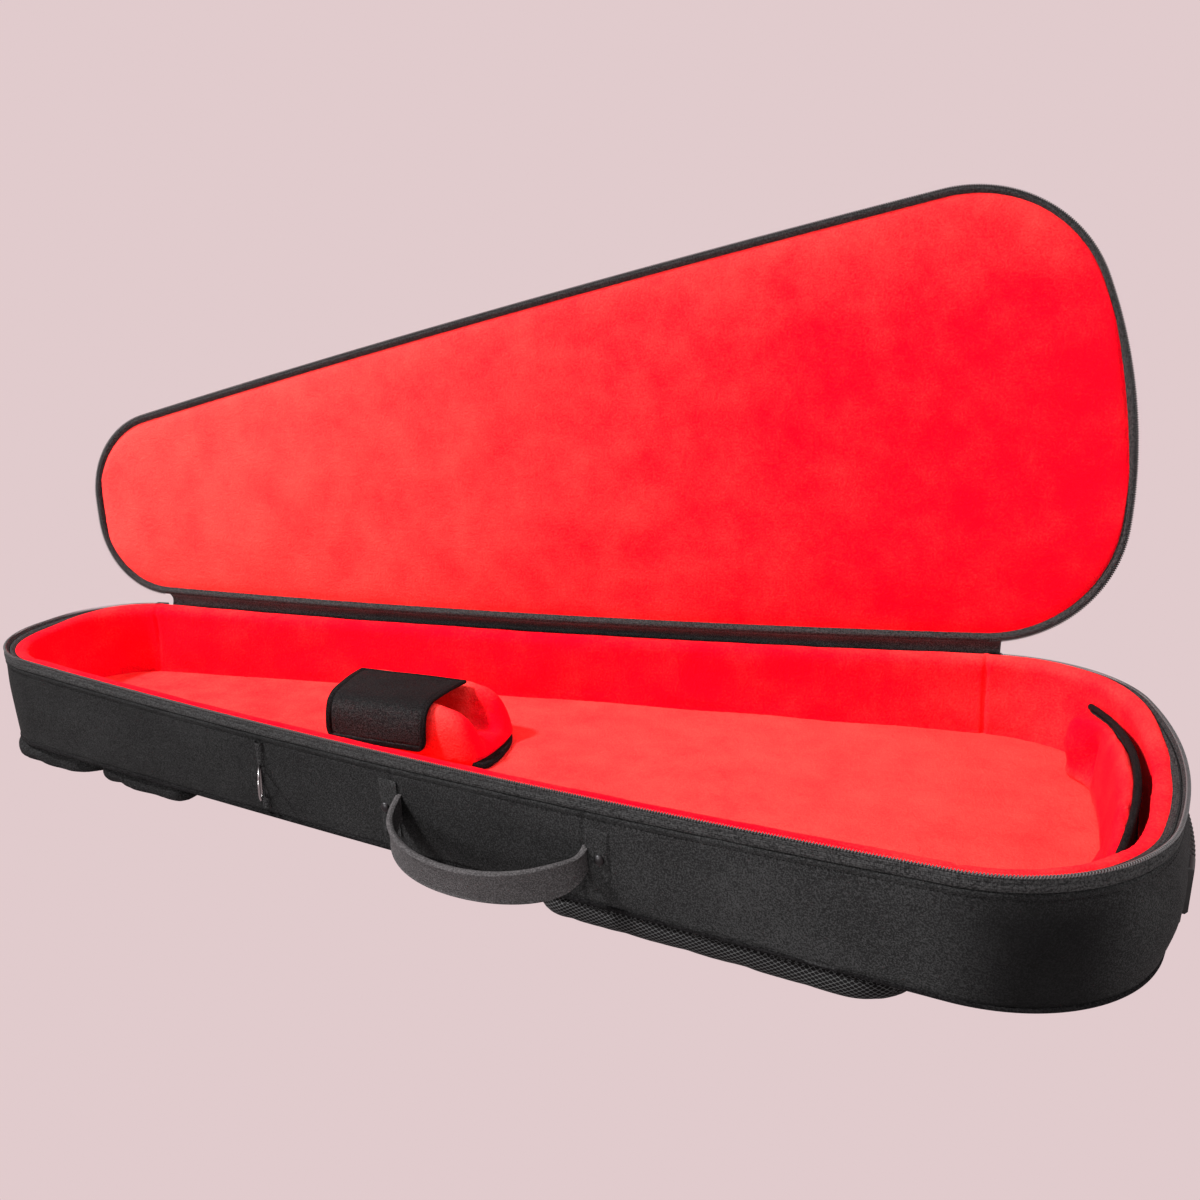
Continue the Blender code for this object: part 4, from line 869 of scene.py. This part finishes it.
def build_handle():
    """Webbing grip fitted to its photographed edges, on two stitched ends with domed rivets."""
    left, right = near_wall(-0.0088, 0.0472)[0], near_wall(0.1555, 0.0448)[0]
    t = np.linspace(0, math.pi, 150)
    along = (1 - np.sign(np.cos(t)) * np.abs(np.cos(t)) ** 0.98) / 2
    swing = np.sin(t) ** 0.8 * (1 + 0.098 * np.cos(t))
    away = np.array([-0.12, -0.993, 0.0])
    centre = left + (right - left) * along[:, None]
    centre = centre + swing[:, None] * (GRIP_REACH * away - GRIP_DROP * UP)
    lean = GRIP_LEAN * np.sin(t)[:, None]
    wide = away * np.sin(lean) + UP * np.cos(lean)
    centre[:, 2] += 0.0005 * field(t * 0.03, 0.0, 51, 0.05)
    trim = 0.75 * np.exp(-(1 - along) / 0.045) + 0.55 * np.exp(-along / 0.05)
    grid = webbing(centre, wide, half=0.0151, thick=0.0034, cord=0.0010, trim=trim)
    obj = surf("grip", grid, GRIP, "handle", "v")
    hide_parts("carry_handle")
    u, v = np.meshgrid(np.linspace(0, 1, 14), np.linspace(0, 1, 26), indexing="ij")
    edge = np.minimum(np.minimum(u, 1 - u) * PATCH_WIDTH, np.minimum(v, 1 - v) * PATCH_HEIGHT)
    lift = 0.0014 * (1 - np.exp(-edge / 0.0012)) + 0.0016 * np.exp(-u * 9)
    rise = np.linspace(0.02, 1, 12)
    r = np.concatenate([rise, [1.02, 1.0]])[:, None, None] * 0.0040
    h = np.concatenate([0.0019 * np.sqrt(1 - rise ** 2) + 0.0006, [0.0003, -0.0012]])
    turn = np.linspace(0, TURN, 28, endpoint=False)[None, :, None]
    for label, x, outside, rivet_x, rivet_z in (("left", -0.0100, -1, -0.0230, 0.0390),
                                                ("right", 0.1560, 1, 0.1665, 0.0400)):
        p, normal, _ = near_wall(x + outside * PATCH_WIDTH * u, PATCH_FOOT + PATCH_HEIGHT * v)
        grid = p + normal * (0.0004 + lift)[..., None]
        obj = surf(f"handle_patch_{label}", grid, NYLON, "base")
        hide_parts(f"handle_anchor_{label}")
        p, normal, side = near_wall(rivet_x, rivet_z)
        disc = r * (np.cos(turn) * side + np.sin(turn) * np.cross(side, normal))
        dome = p + normal * (0.0018 + h[:, None, None]) + disc
        obj = surf(f"rivet_{label}", dome, DARK, "base", "v")
        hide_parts(f"handle_rivet_{label}")


def build_ring():
    """Upright webbing fold, and the wire ring: a path (half sin a, bow cos a) by a straight bar."""
    z = np.linspace(0.0085, 0.0690, 40)
    spine, _, _ = near_wall(RING_X, z)
    _, normal, along = near_wall(RING_X, 0.0400)
    v = np.linspace(0, math.pi, 15)
    puff = 0.0030 - 0.0012 * bell(z, 0.034, 0.012)
    grid = spine[:, None] + 0.0042 * np.cos(v)[None, :, None] * along \
        + (0.0002 + puff[:, None] * np.sin(v)[None])[..., None] * normal
    obj = surf("ring_fold", grid, NYLON_SOFT, "base")
    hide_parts("ring_tab")
    seat = near_wall(RING_X, 0.0340)[0] + normal * 0.0038
    swung = math.radians(41)
    out = normal * math.cos(swung) + along * math.sin(swung)
    half, bow = 0.0145, 0.0150
    a = np.linspace(math.pi / 2, -math.pi / 2, 40)
    bar = np.linspace(-half + 0.003, half - 0.003, 24)
    lift = np.concatenate([bar, half * np.sin(a)])[:, None]
    reach = np.concatenate([0 * bar, 0.0015 + bow * np.cos(a)])[:, None]
    obj = tube("ring_wire", seat + UP * lift + out * reach, 0.0011, STEEL, "ring", 14, loop=True)
    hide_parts("side_ring")


# ---- neck cradle, neck strap and end pad

def build_cradle():
    """Plush channel block on its mat: a coarse section rounded by corner cutting."""
    low, high, outer, inner = CRADLE_LOW, CRADLE_TOP, 0.0420, 0.0230
    foot = FLOOR_Z + 0.0006
    sections = []
    for x, rise, pull in ((-0.1580, 0.985, 0.002), (-0.1500, 1.0, 0.0), (-0.1000, 1.0, 0.0),
                          (-0.0560, 1.0, 0.0), (-0.0400, 0.95, 0.0), (-0.0300, 0.90, 0.0005),
                          (-0.0205, 0.72, 0.0015), (-0.0130, 0.40, 0.0025),
                          (-0.0098, 0.12, 0.0035)):
        top = low + (high - low) * rise
        bed = low + min(high - 0.034 - low, (high - low) * rise * 0.45)
        w = outer - pull
        half = [(w - 0.0030, foot), (w, foot), (w + 0.0022, low + (top - low) * 0.40),
                (w + 0.001, top - 0.008), ((w + inner) / 2 + 0.003, top + 0.0005),
                (inner + 0.004, top + 0.0002), (inner - 0.001, top - 0.006), (inner - 0.004, bed)]
        sections.append([(x, -y, z) for y, z in half] + [(x, y, z) for y, z in half[::-1]])
    grid = smooth_closed(resample(np.array(sections), 110), 3)
    nose = np.clip((grid[..., 0] + 0.036) / 0.026, 0, 1) ** 1.5
    grid[..., 0] += 0.0085 * nose * np.clip(1 - (grid[..., 1] / outer) ** 2, 0, 1)
    along, girth = grid[..., 0], grid[..., 1] + grid[..., 2]
    pile = 0.0007 * field(along, girth, 61, 0.035) + 0.0002 * field(along, girth, 62, 0.006, 40)
    grid[..., 2] += pile * (grid[..., 2] > low + 0.006)
    obj = surf("cradle_plush", grid, PLUSH_BLOCK, "cradle", "v")
    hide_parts("cradle_block")
    swell(obj, 0.0035, 3.0, 0.0024, low=foot, held=foot + 0.006)
    corners = [(-0.160, -0.034), (-0.100, -0.034), (-0.040, -0.034), (-0.016, -0.0365),
               (0.0025, -0.0440), (0.0062, -0.022), (0.0035, 0.006), (-0.004, 0.030),
               (-0.018, 0.046), (-0.090, 0.046), (-0.160, 0.045)]
    edge = smooth_closed(np.array([[(x, y, 0.0) for x, y in corners]]), 4)[0]
    middle = np.array([-0.085, 0.0, 0.0])
    rows = [middle + (edge - middle) * scale + UP * (FLOOR_Z + 0.0002 + z)
            for scale, z in ((0.93, 0.0046), (0.965, 0.0050), (0.99, 0.0048), (1.0, 0.0030),
                             (0.998, 0.0008), (0.97, 0.0002))]
    obj = surf("mat_cloth", np.stack(rows), BINDING, "cradle", "v")
    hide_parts("cradle_mat")


def build_strap():
    """Neck strap: bound panel over the cradle's top and down its near side, bare of lettering."""
    top = CRADLE_TOP + 0.0014
    line = np.array([(STRAP_FAR, 0.0), (0.012, 0.0008), (-0.004, 0.0014), (-0.020, 0.0012),
                     (-0.034, 0.0002), (-0.0425, -0.0040), (-0.0462, -0.0120),
                     (-0.0476, -0.0210), (-0.0478, -0.0310), (-0.0480, -0.0398)])
    curve = resample(np.array([[(0.0, y, top + z)] for y, z in line]), 90)[:, 0]
    dist = np.r_[0, np.cumsum(np.linalg.norm(np.diff(curve, axis=0), axis=1))][None]
    total = dist[0, -1]
    out = np.cross(unit(np.gradient(curve, axis=0)), [1.0, 0.0, 0.0])
    skew = np.clip((curve[:, 1] + 0.040) / 0.060, 0, 1)[None]
    left, right = -0.1560 - 0.0080 * skew, -0.0510 + 0.0035 * skew
    share = np.linspace(0, 1, 110)[:, None]
    rounding = 0.012
    low = np.clip((dist - (total - rounding)) / rounding, 0, 1)
    corner = 0.0090 * (1 - np.sqrt(np.maximum(1 - low ** 2, 0)))
    x = left + (right - left) * share + corner * (1 - 2 * share)
    edge = np.minimum(np.minimum(share, 1 - share) * (right - left),
                      np.minimum(dist + 0.004, total - dist))
    bind = 0.0008 / (1 + np.exp((edge - 0.0052) / 0.0003)) - 0.0009 * bell(edge, 0.0058, 0.0005)
    wrinkle = 0.0011 * field(x, dist * 0.8, 71, 0.045) * np.clip(edge / 0.01, 0.2, 1)
    sag = 0.0010 * np.sin(math.pi * share) * bell(dist, 0.050, 0.030)
    lift = 0.0016 + wrinkle - sag
    thick = 0.0011 * np.clip(edge / 0.0009, 0.05, 1) ** 0.5
    p = points(x, curve[:, 1], curve[:, 2])
    outside = p + (lift + thick + bind)[..., None] * out
    inside = p + (lift - thick - 0.4 * bind)[..., None] * out
    obj = surf("neck_panel", np.concatenate([outside, inside[:, ::-1]], 1), STRAP_CLOTH, "strap",
               "v")
    obj.data.materials.append(BINDING)
    bound = np.concatenate([edge, edge[:, ::-1]], 1)[:-1] < STRAP_BIND
    index = np.ones(len(obj.data.polygons), np.int32)
    index[:bound.size] = bound.ravel()
    obj.data.polygons.foreach_set("material_index", index)
    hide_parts("neck_strap", "neck_strap_binding")


def build_bumper():
    """Crescent end pad: plush front, black back, corded top edge, as profiles (r, z) over angle."""
    floor = FLOOR_Z + GAP
    centre = np.array([LENGTH / 2 - END_WIDE, 0.0, 0.0])
    outer = END_WIDE - 0.0205 - 0.0003 - 0.0016 - 0.0075
    back = outer - PAD_BACK_THICK
    pad = back - GAP
    share = np.linspace(-1, 1, 120)
    angle = share * math.asin(PAD_HALF_WIDTH / outer)
    middle = np.maximum(np.cos(share * math.pi / 2), 0)
    fade = 0.30 + 0.70 * middle ** 0.5
    tall = PAD_HEIGHT * (0.80 + 0.20 * middle)
    top = floor + tall
    lobe = bell(share, 0.80, 0.13)
    hollow = 0.0130 * bell(share, 0.64, 0.06)
    full = fade + (1 - fade) * lobe
    brow = (0.0085 + 0.0165 * lobe) * full
    foot = (0.0205 + 0.0060 * lobe) * full + 0.0200 * np.clip((-0.15 - share) / 0.6, 0, 1) ** 1.5

    def round_end(profile):
        r, z = (np.stack([np.broadcast_to(v, angle.shape) for v in side], 1)[..., None]
                for side in zip(*profile))
        return centre + facing(angle)[0][:, None] * r + UP * z

    front = round_end((
        (pad, floor), (pad, floor + tall * 0.5), (pad, top - 0.002), (pad - 0.0030, top + 0.0010),
        (pad - brow * 0.55, top + 0.0020), (pad - brow, top - 0.0015),
        (pad - brow - 0.0040 * fade + hollow * 0.4, floor + tall * 0.76),
        (pad - brow - 0.0070 * fade + hollow, floor + tall * 0.52),
        (pad - foot + 0.0020 + hollow * 0.5, floor + tall * 0.24),
        (pad - foot, floor + tall * 0.07), (pad - foot - 0.001, floor)))
    grid = smooth_closed(front, 2)
    a = np.linspace(0, 0.3, len(grid))[:, None]
    grid[..., 2] += 0.0005 * field(a, grid[..., 2], 81, 0.06) * (grid[..., 2] > floor + 0.004)
    creases = 0.0007 * field(a, grid[..., 2], 82, 0.08)
    grid[..., 0] += creases + 0.0002 * field(a, grid[..., 2], 83, 0.006, 40)
    obj = surf("end_pad", grid, PLUSH_PAD, "base", "v")
    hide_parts("end_bumper_pad")
    swell(obj, 0.0035, 2.0, 0.0016, low=floor, held=floor + 0.004)
    backs = round_end(((back, floor), (outer, floor), (outer + 0.0008, floor + tall * 0.5),
                       (outer, top - 0.001), (outer - 0.0006, top + 0.0008), (back, top + 0.0004)))
    obj = surf("end_pad_back", backs, NYLON_SOFT, "base", "v")
    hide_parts("end_bumper_back")
    cord = round_end((((back + outer) / 2 - 0.0004, top + 0.0016),))[:, 0]
    obj = tube("end_pad_cord", cord, 0.0029, BINDING, "base", 14)
    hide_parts("end_bumper_binding")


# ---- under the back, the guard and the pocket

def cushion(name, span, inset, corner, depth, bulge, mat, seed, wave):
    """Pad under the back: outline of the bag's sides with round corners, bulging between seams."""
    rows = []
    for shrink, z in ((0.0, -0.0002), (-bulge * 0.6, depth * 0.12), (-bulge, depth * 0.32),
                      (-bulge, depth * 0.5), (-bulge * 0.7, depth * 0.68), (0.0006, depth * 0.84),
                      (0.0030, depth * 0.95), (0.0070, depth), (0.0140, depth)):
        lo, hi = span[0] + shrink + corner, span[1] - shrink - corner
        a = np.radians(np.linspace(180, 90, 22))
        b = np.radians(np.linspace(90, 0, 22))
        w_lo, w_hi = half_width(lo, inset + shrink), half_width(hi, inset + shrink)
        xs = lo + (hi - lo) * np.linspace(0, 1, 70)[1:-1]
        top = np.concatenate([
            np.c_[lo + corner * np.cos(a), w_lo - corner + corner * np.sin(a)],
            np.c_[xs, half_width(xs, inset + shrink)],
            np.c_[hi + corner * np.cos(b), w_hi - corner + corner * np.sin(b)]])
        ring = np.concatenate([top, top[::-1] * [1, -1]])
        rows.append(np.c_[ring, np.full(len(ring), z)])
    grid = resample(np.stack(rows), 40)
    out = unit((grid - np.array([sum(span) / 2, 0, 0])) * [1, 1, 0])
    crease = wave * field(grid[..., 0] + grid[..., 1] * 0.3, grid[..., 2] * 2.5, seed, 0.05)
    grid = grid + out * crease[..., None] * (grid[..., 2:] > depth + 0.0005)
    return surf(name, grid, mat, "base", "v")


def build_pads():
    left = -LENGTH / 2 + 0.015
    cover = left + 0.154 + 0.030
    for name, node, span, inset, corner, depth, bulge, mat, seed, wave, blow, fill in (
            ("lumbar_cushion", "lumbar_pad", (0.100, 0.386), 0.0060, 0.042, -0.020, 0.0016,
             MESH, 91, 0.0003, (0.0050, 1.5, 0.0020), 0.8),
            ("yoke_cushion", "yoke_pad", (left + 0.004, left + 0.156), 0.0085, 0.050, -0.020,
             0.0020, PAD_CLOTH, 92, 0.0012, (0.0045, 2.0, 0.0022), 0.7),
            ("cover_cushion", "strap_cover", (cover - 0.0275, cover + 0.086), 0.0085, 0.012,
             -0.018, 0.0020, PAD_CLOTH, 93, 0.0012, (0.0045, 2.0, 0.0022), 0.6)):
        obj = cushion(name, span, inset, corner, depth, bulge, mat, seed, wave)
        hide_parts(node)
        swell(obj, *blow, low=depth, high=-0.0002)


def build_guard():
    """Moulded guard round the foot of the wide end: upright ribs, a plain block, a thin end."""
    low, high, reach = 0.018, 0.052, 0.0972
    pitch, plain_from = 0.0068, -0.066
    s = np.linspace(-reach, reach, 700)
    ribs = 0.0030 * (0.5 + 0.5 * np.tanh(3 * np.cos(TURN * s / pitch))) * (s > plain_from)
    proud = (0.0094 - ribs - 0.0034 * (s < -reach + 0.0150))[:, None]
    rise, out = np.array([(0.0, 0.0), (0.0, 0.75), (0.06, 1.0), (0.30, 1.0), (0.60, 1.0),
                          (0.94, 1.0), (1.0, 0.75), (1.0, 0.0)]).T
    z = low + (high - low) * rise
    wall = wall_inset(plan(s)[0][:, None], z)
    share = (z - WALL_FOOT) / (RIM - BAND - WALL_FOOT)
    face = wall - end_fullness(LENGTH / 2, share) + 0.0008
    grid = ring_grid(s, face + (wall - proud - face) * out, z)
    obj = surf("guard_moulding", grid, RUBBER, "base", "v")
    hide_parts("end_guard")


def build_pocket():
    """Front pocket on the lid's outside: a padded panel, its zip tape and its coil."""
    low, margin, depth, base = -0.090, 0.034, 0.0060, LID_TOP + GAP
    x, y, _ = plan(around(900), margin)
    far, near = (x > low) & (y >= 0), (x > low) & (y < 0)
    half = float(half_width(low, margin))
    edge = np.linspace(half, -half, 42)[1:-1]
    ring = np.concatenate([np.c_[x, y][far], np.c_[np.full(40, low), edge], np.c_[x, y][near]])
    middle = ring.mean(0)
    rows = []
    for scale, rise in ((1.0, 0.0), (1.002, 0.35), (0.999, 0.68), (0.990, 0.90), (0.972, 1.0),
                        *((flat, 1.03) for flat in (0.93, 0.8, 0.6, 0.4, 0.2, 0.04))):
        p = middle + (ring - middle) * scale
        z = base + depth * rise + 0.0005 * field(p[:, 0], p[:, 1], 101, 0.11) * (rise > 1)
        rows.append(np.c_[p, z])
    obj = surf("pocket_panel", turned(resample(np.array(rows), 60)), NYLON, "lid", "v")
    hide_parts("front_pocket")
    zip_x, zip_half, tape_half, top = low + 0.040, half - 0.006, 0.0085, base + depth
    u, v = np.meshgrid(np.linspace(-tape_half, tape_half, 12),
                       np.linspace(-zip_half, zip_half, 160), indexing="ij")
    tape = points(zip_x + u, v, top + 0.0009 - 0.0004 * (np.abs(u) / tape_half) ** 6)
    surf("pocket_tape", turned(tape), TAPE, "lid")
    mid = np.arange(-zip_half + 0.002, zip_half - 0.002, 0.0016)
    side = np.where(np.arange(len(mid)) % 2, 0.0006, -0.0006)
    centres = points(zip_x + side, mid, top + 0.0013)
    a, b, c = np.diag([0.0018, 0.0006, 0.0006])
    obj = beads("pocket_teeth", centres, a, b, c, TEETH, "lid", turn=True)
    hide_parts("pocket_zip_coil")


def build_back():
    """Panel that closes the bag underneath, a little uneven between its seams."""
    x, y = across(220, 110, 0.0064)
    z = 0.0005 + 0.0004 * field(x, y, 111, 0.12)
    obj = surf("back_cloth", points(x, y, z), NYLON, "base")
    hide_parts("back_panel")


def soften(name, voxel, pressure, cap, low, high):
    """Soft piece in the form of a CAD node, swelled so that its edges round off."""
    data = NODES[name].data
    faces = [list(p.vertices) for p in data.polygons]
    verts = read(data.vertices, "co", width=3) - SHIFT
    obj = mesh_from(name + "_cloth", verts, faces, NYLON_SOFT, "base", smooth=False)
    box_uv(obj.data)
    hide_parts(name)
    swell(obj, voxel, pressure, cap, low, high)


def build_stowed():
    """Backpack straps and their webbing, lying under the back."""
    for side in ("left", "right"):
        soften(f"shoulder_strap_{side}", 0.0030, 1.5, 0.0012, -0.0085, -0.0003)
        soften(f"strap_webbing_{side}", 0.0010, 0.3, 0.0002, -0.0022, -0.0006)


for build in (build_base, build_lining, build_floor, build_lid, build_gusset, build_handle,
              build_ring, build_cradle, build_strap, build_bumper, build_pads, build_guard,
              build_pocket, build_back, build_stowed):
    build()

for entry in frame["record"]["subparts"]:
    node = NODES[entry["node"]]
    if not node.hide_render:
        node.data.materials.clear()
        node.data.materials.append(LOOKS[entry["material_slot"]][0])


# ---- floor, light and camera

def show_backdrop(tree, usual, kind, target):
    """Even backdrop for the rays that see it: from the camera, off metal and through glass."""
    rays = tree.nodes.new("ShaderNodeLightPath").outputs
    camera, glossy, through = (Sock(tree, rays[f"Is {label} Ray"])
                               for label in ("Camera", "Glossy", "Transmission"))
    shown = tree.nodes.new(kind)
    shown.inputs["Color"].default_value = BACKDROP
    mixer = tree.nodes.new("ShaderNodeMixShader")
    feed(tree, mixer.inputs[0], camera + glossy + through)
    tree.links.new(usual.outputs[0], mixer.inputs[1])
    tree.links.new(shown.outputs[0], mixer.inputs[2])
    tree.links.new(mixer.outputs[0], tree.nodes[target].inputs["Surface"])


def build_stage():
    """Plain pale floor and soft lamps for the light on the bag."""
    floor = Look("studio_floor")
    floor.set(Base_Color=(0.58, 0.55, 0.55), Roughness=1.0, Specular_IOR_Level=0.0)
    show_backdrop(floor.tree, floor.shader, "ShaderNodeEmission", "Material Output")
    half = 14.0
    corners = [(x, y, -SHIFT[2]) for x, y in ((-half, -half), (half, -half), (half, half),
                                              (-half, half))]
    ground = mesh_from("studio_floor", corners, [(0, 1, 2, 3)], floor.mat, None, smooth=False)
    world = bpy.data.worlds.new("studio")
    bpy.context.scene.world = world
    world.use_nodes = True
    sky = world.node_tree.nodes["Background"]
    sky.inputs["Color"].default_value = (0.93, 0.92, 0.93, 1)
    sky.inputs["Strength"].default_value = 0.22
    show_backdrop(world.node_tree, sky, "ShaderNodeBackground", "World Output")
    for name, location, target, size, power in (
            ("key", (-2.6, -1.4, 3.3), (0.0, 0.0, 0.1), 0.40, 390),
            ("front", (-1.8, -3.8, 0.9), (0.0, 0.0, 0.2), 1.0, 110),
            ("side", (2.6, 0.3, 0.9), (0.4, 0.0, 0.15), 0.8, 46),
            ("top", (0.3, -0.6, 2.6), (0.1, 0.0, 0.0), 1.4, 22)):
        data = bpy.data.lights.new(name, "AREA")
        data.size, data.energy = size, power
        lamp = linked(name, data)
        lamp.location = Vector(location) + Vector(SHIFT)
        lamp.rotation_mode = "QUATERNION"
        lamp.rotation_quaternion = (Vector(target) - Vector(location)).to_track_quat("-Z", "Y")


def build_camera():
    """Camera fitted to the photograph: place, turn, focal length and off-centre axis."""
    ahead = Vector((math.sin(YAW) * math.cos(PITCH), math.cos(YAW) * math.cos(PITCH),
                    math.sin(PITCH)))
    level = Vector((math.cos(YAW), -math.sin(YAW), 0.0))
    upright = level.cross(ahead)
    right = level * math.cos(ROLL) + upright * math.sin(ROLL)
    up = upright * math.cos(ROLL) - level * math.sin(ROLL)
    data = bpy.data.cameras.new("camera")
    data.sensor_width = SENSOR
    data.lens = SENSOR * FOCAL_PX / FRAME_PX
    data.shift_x = (FRAME_PX / 2 - CENTRE_X_PX) / FRAME_PX
    data.shift_y = (CENTRE_Y_PX - FRAME_PX / 2) / FRAME_PX
    data.clip_start, data.clip_end = 0.01, 100
    camera = linked("camera", data)
    turn = Matrix((right, up, -ahead)).transposed()
    camera.matrix_world = Matrix.Translation(Vector(CAMERA_AT) + Vector(SHIFT)) @ turn.to_4x4()
    bpy.context.scene.camera = camera


build_stage()
build_camera()
scene = bpy.context.scene
scene.render.resolution_x = scene.render.resolution_y = FRAME_PX
scene.view_settings.view_transform = "Standard"
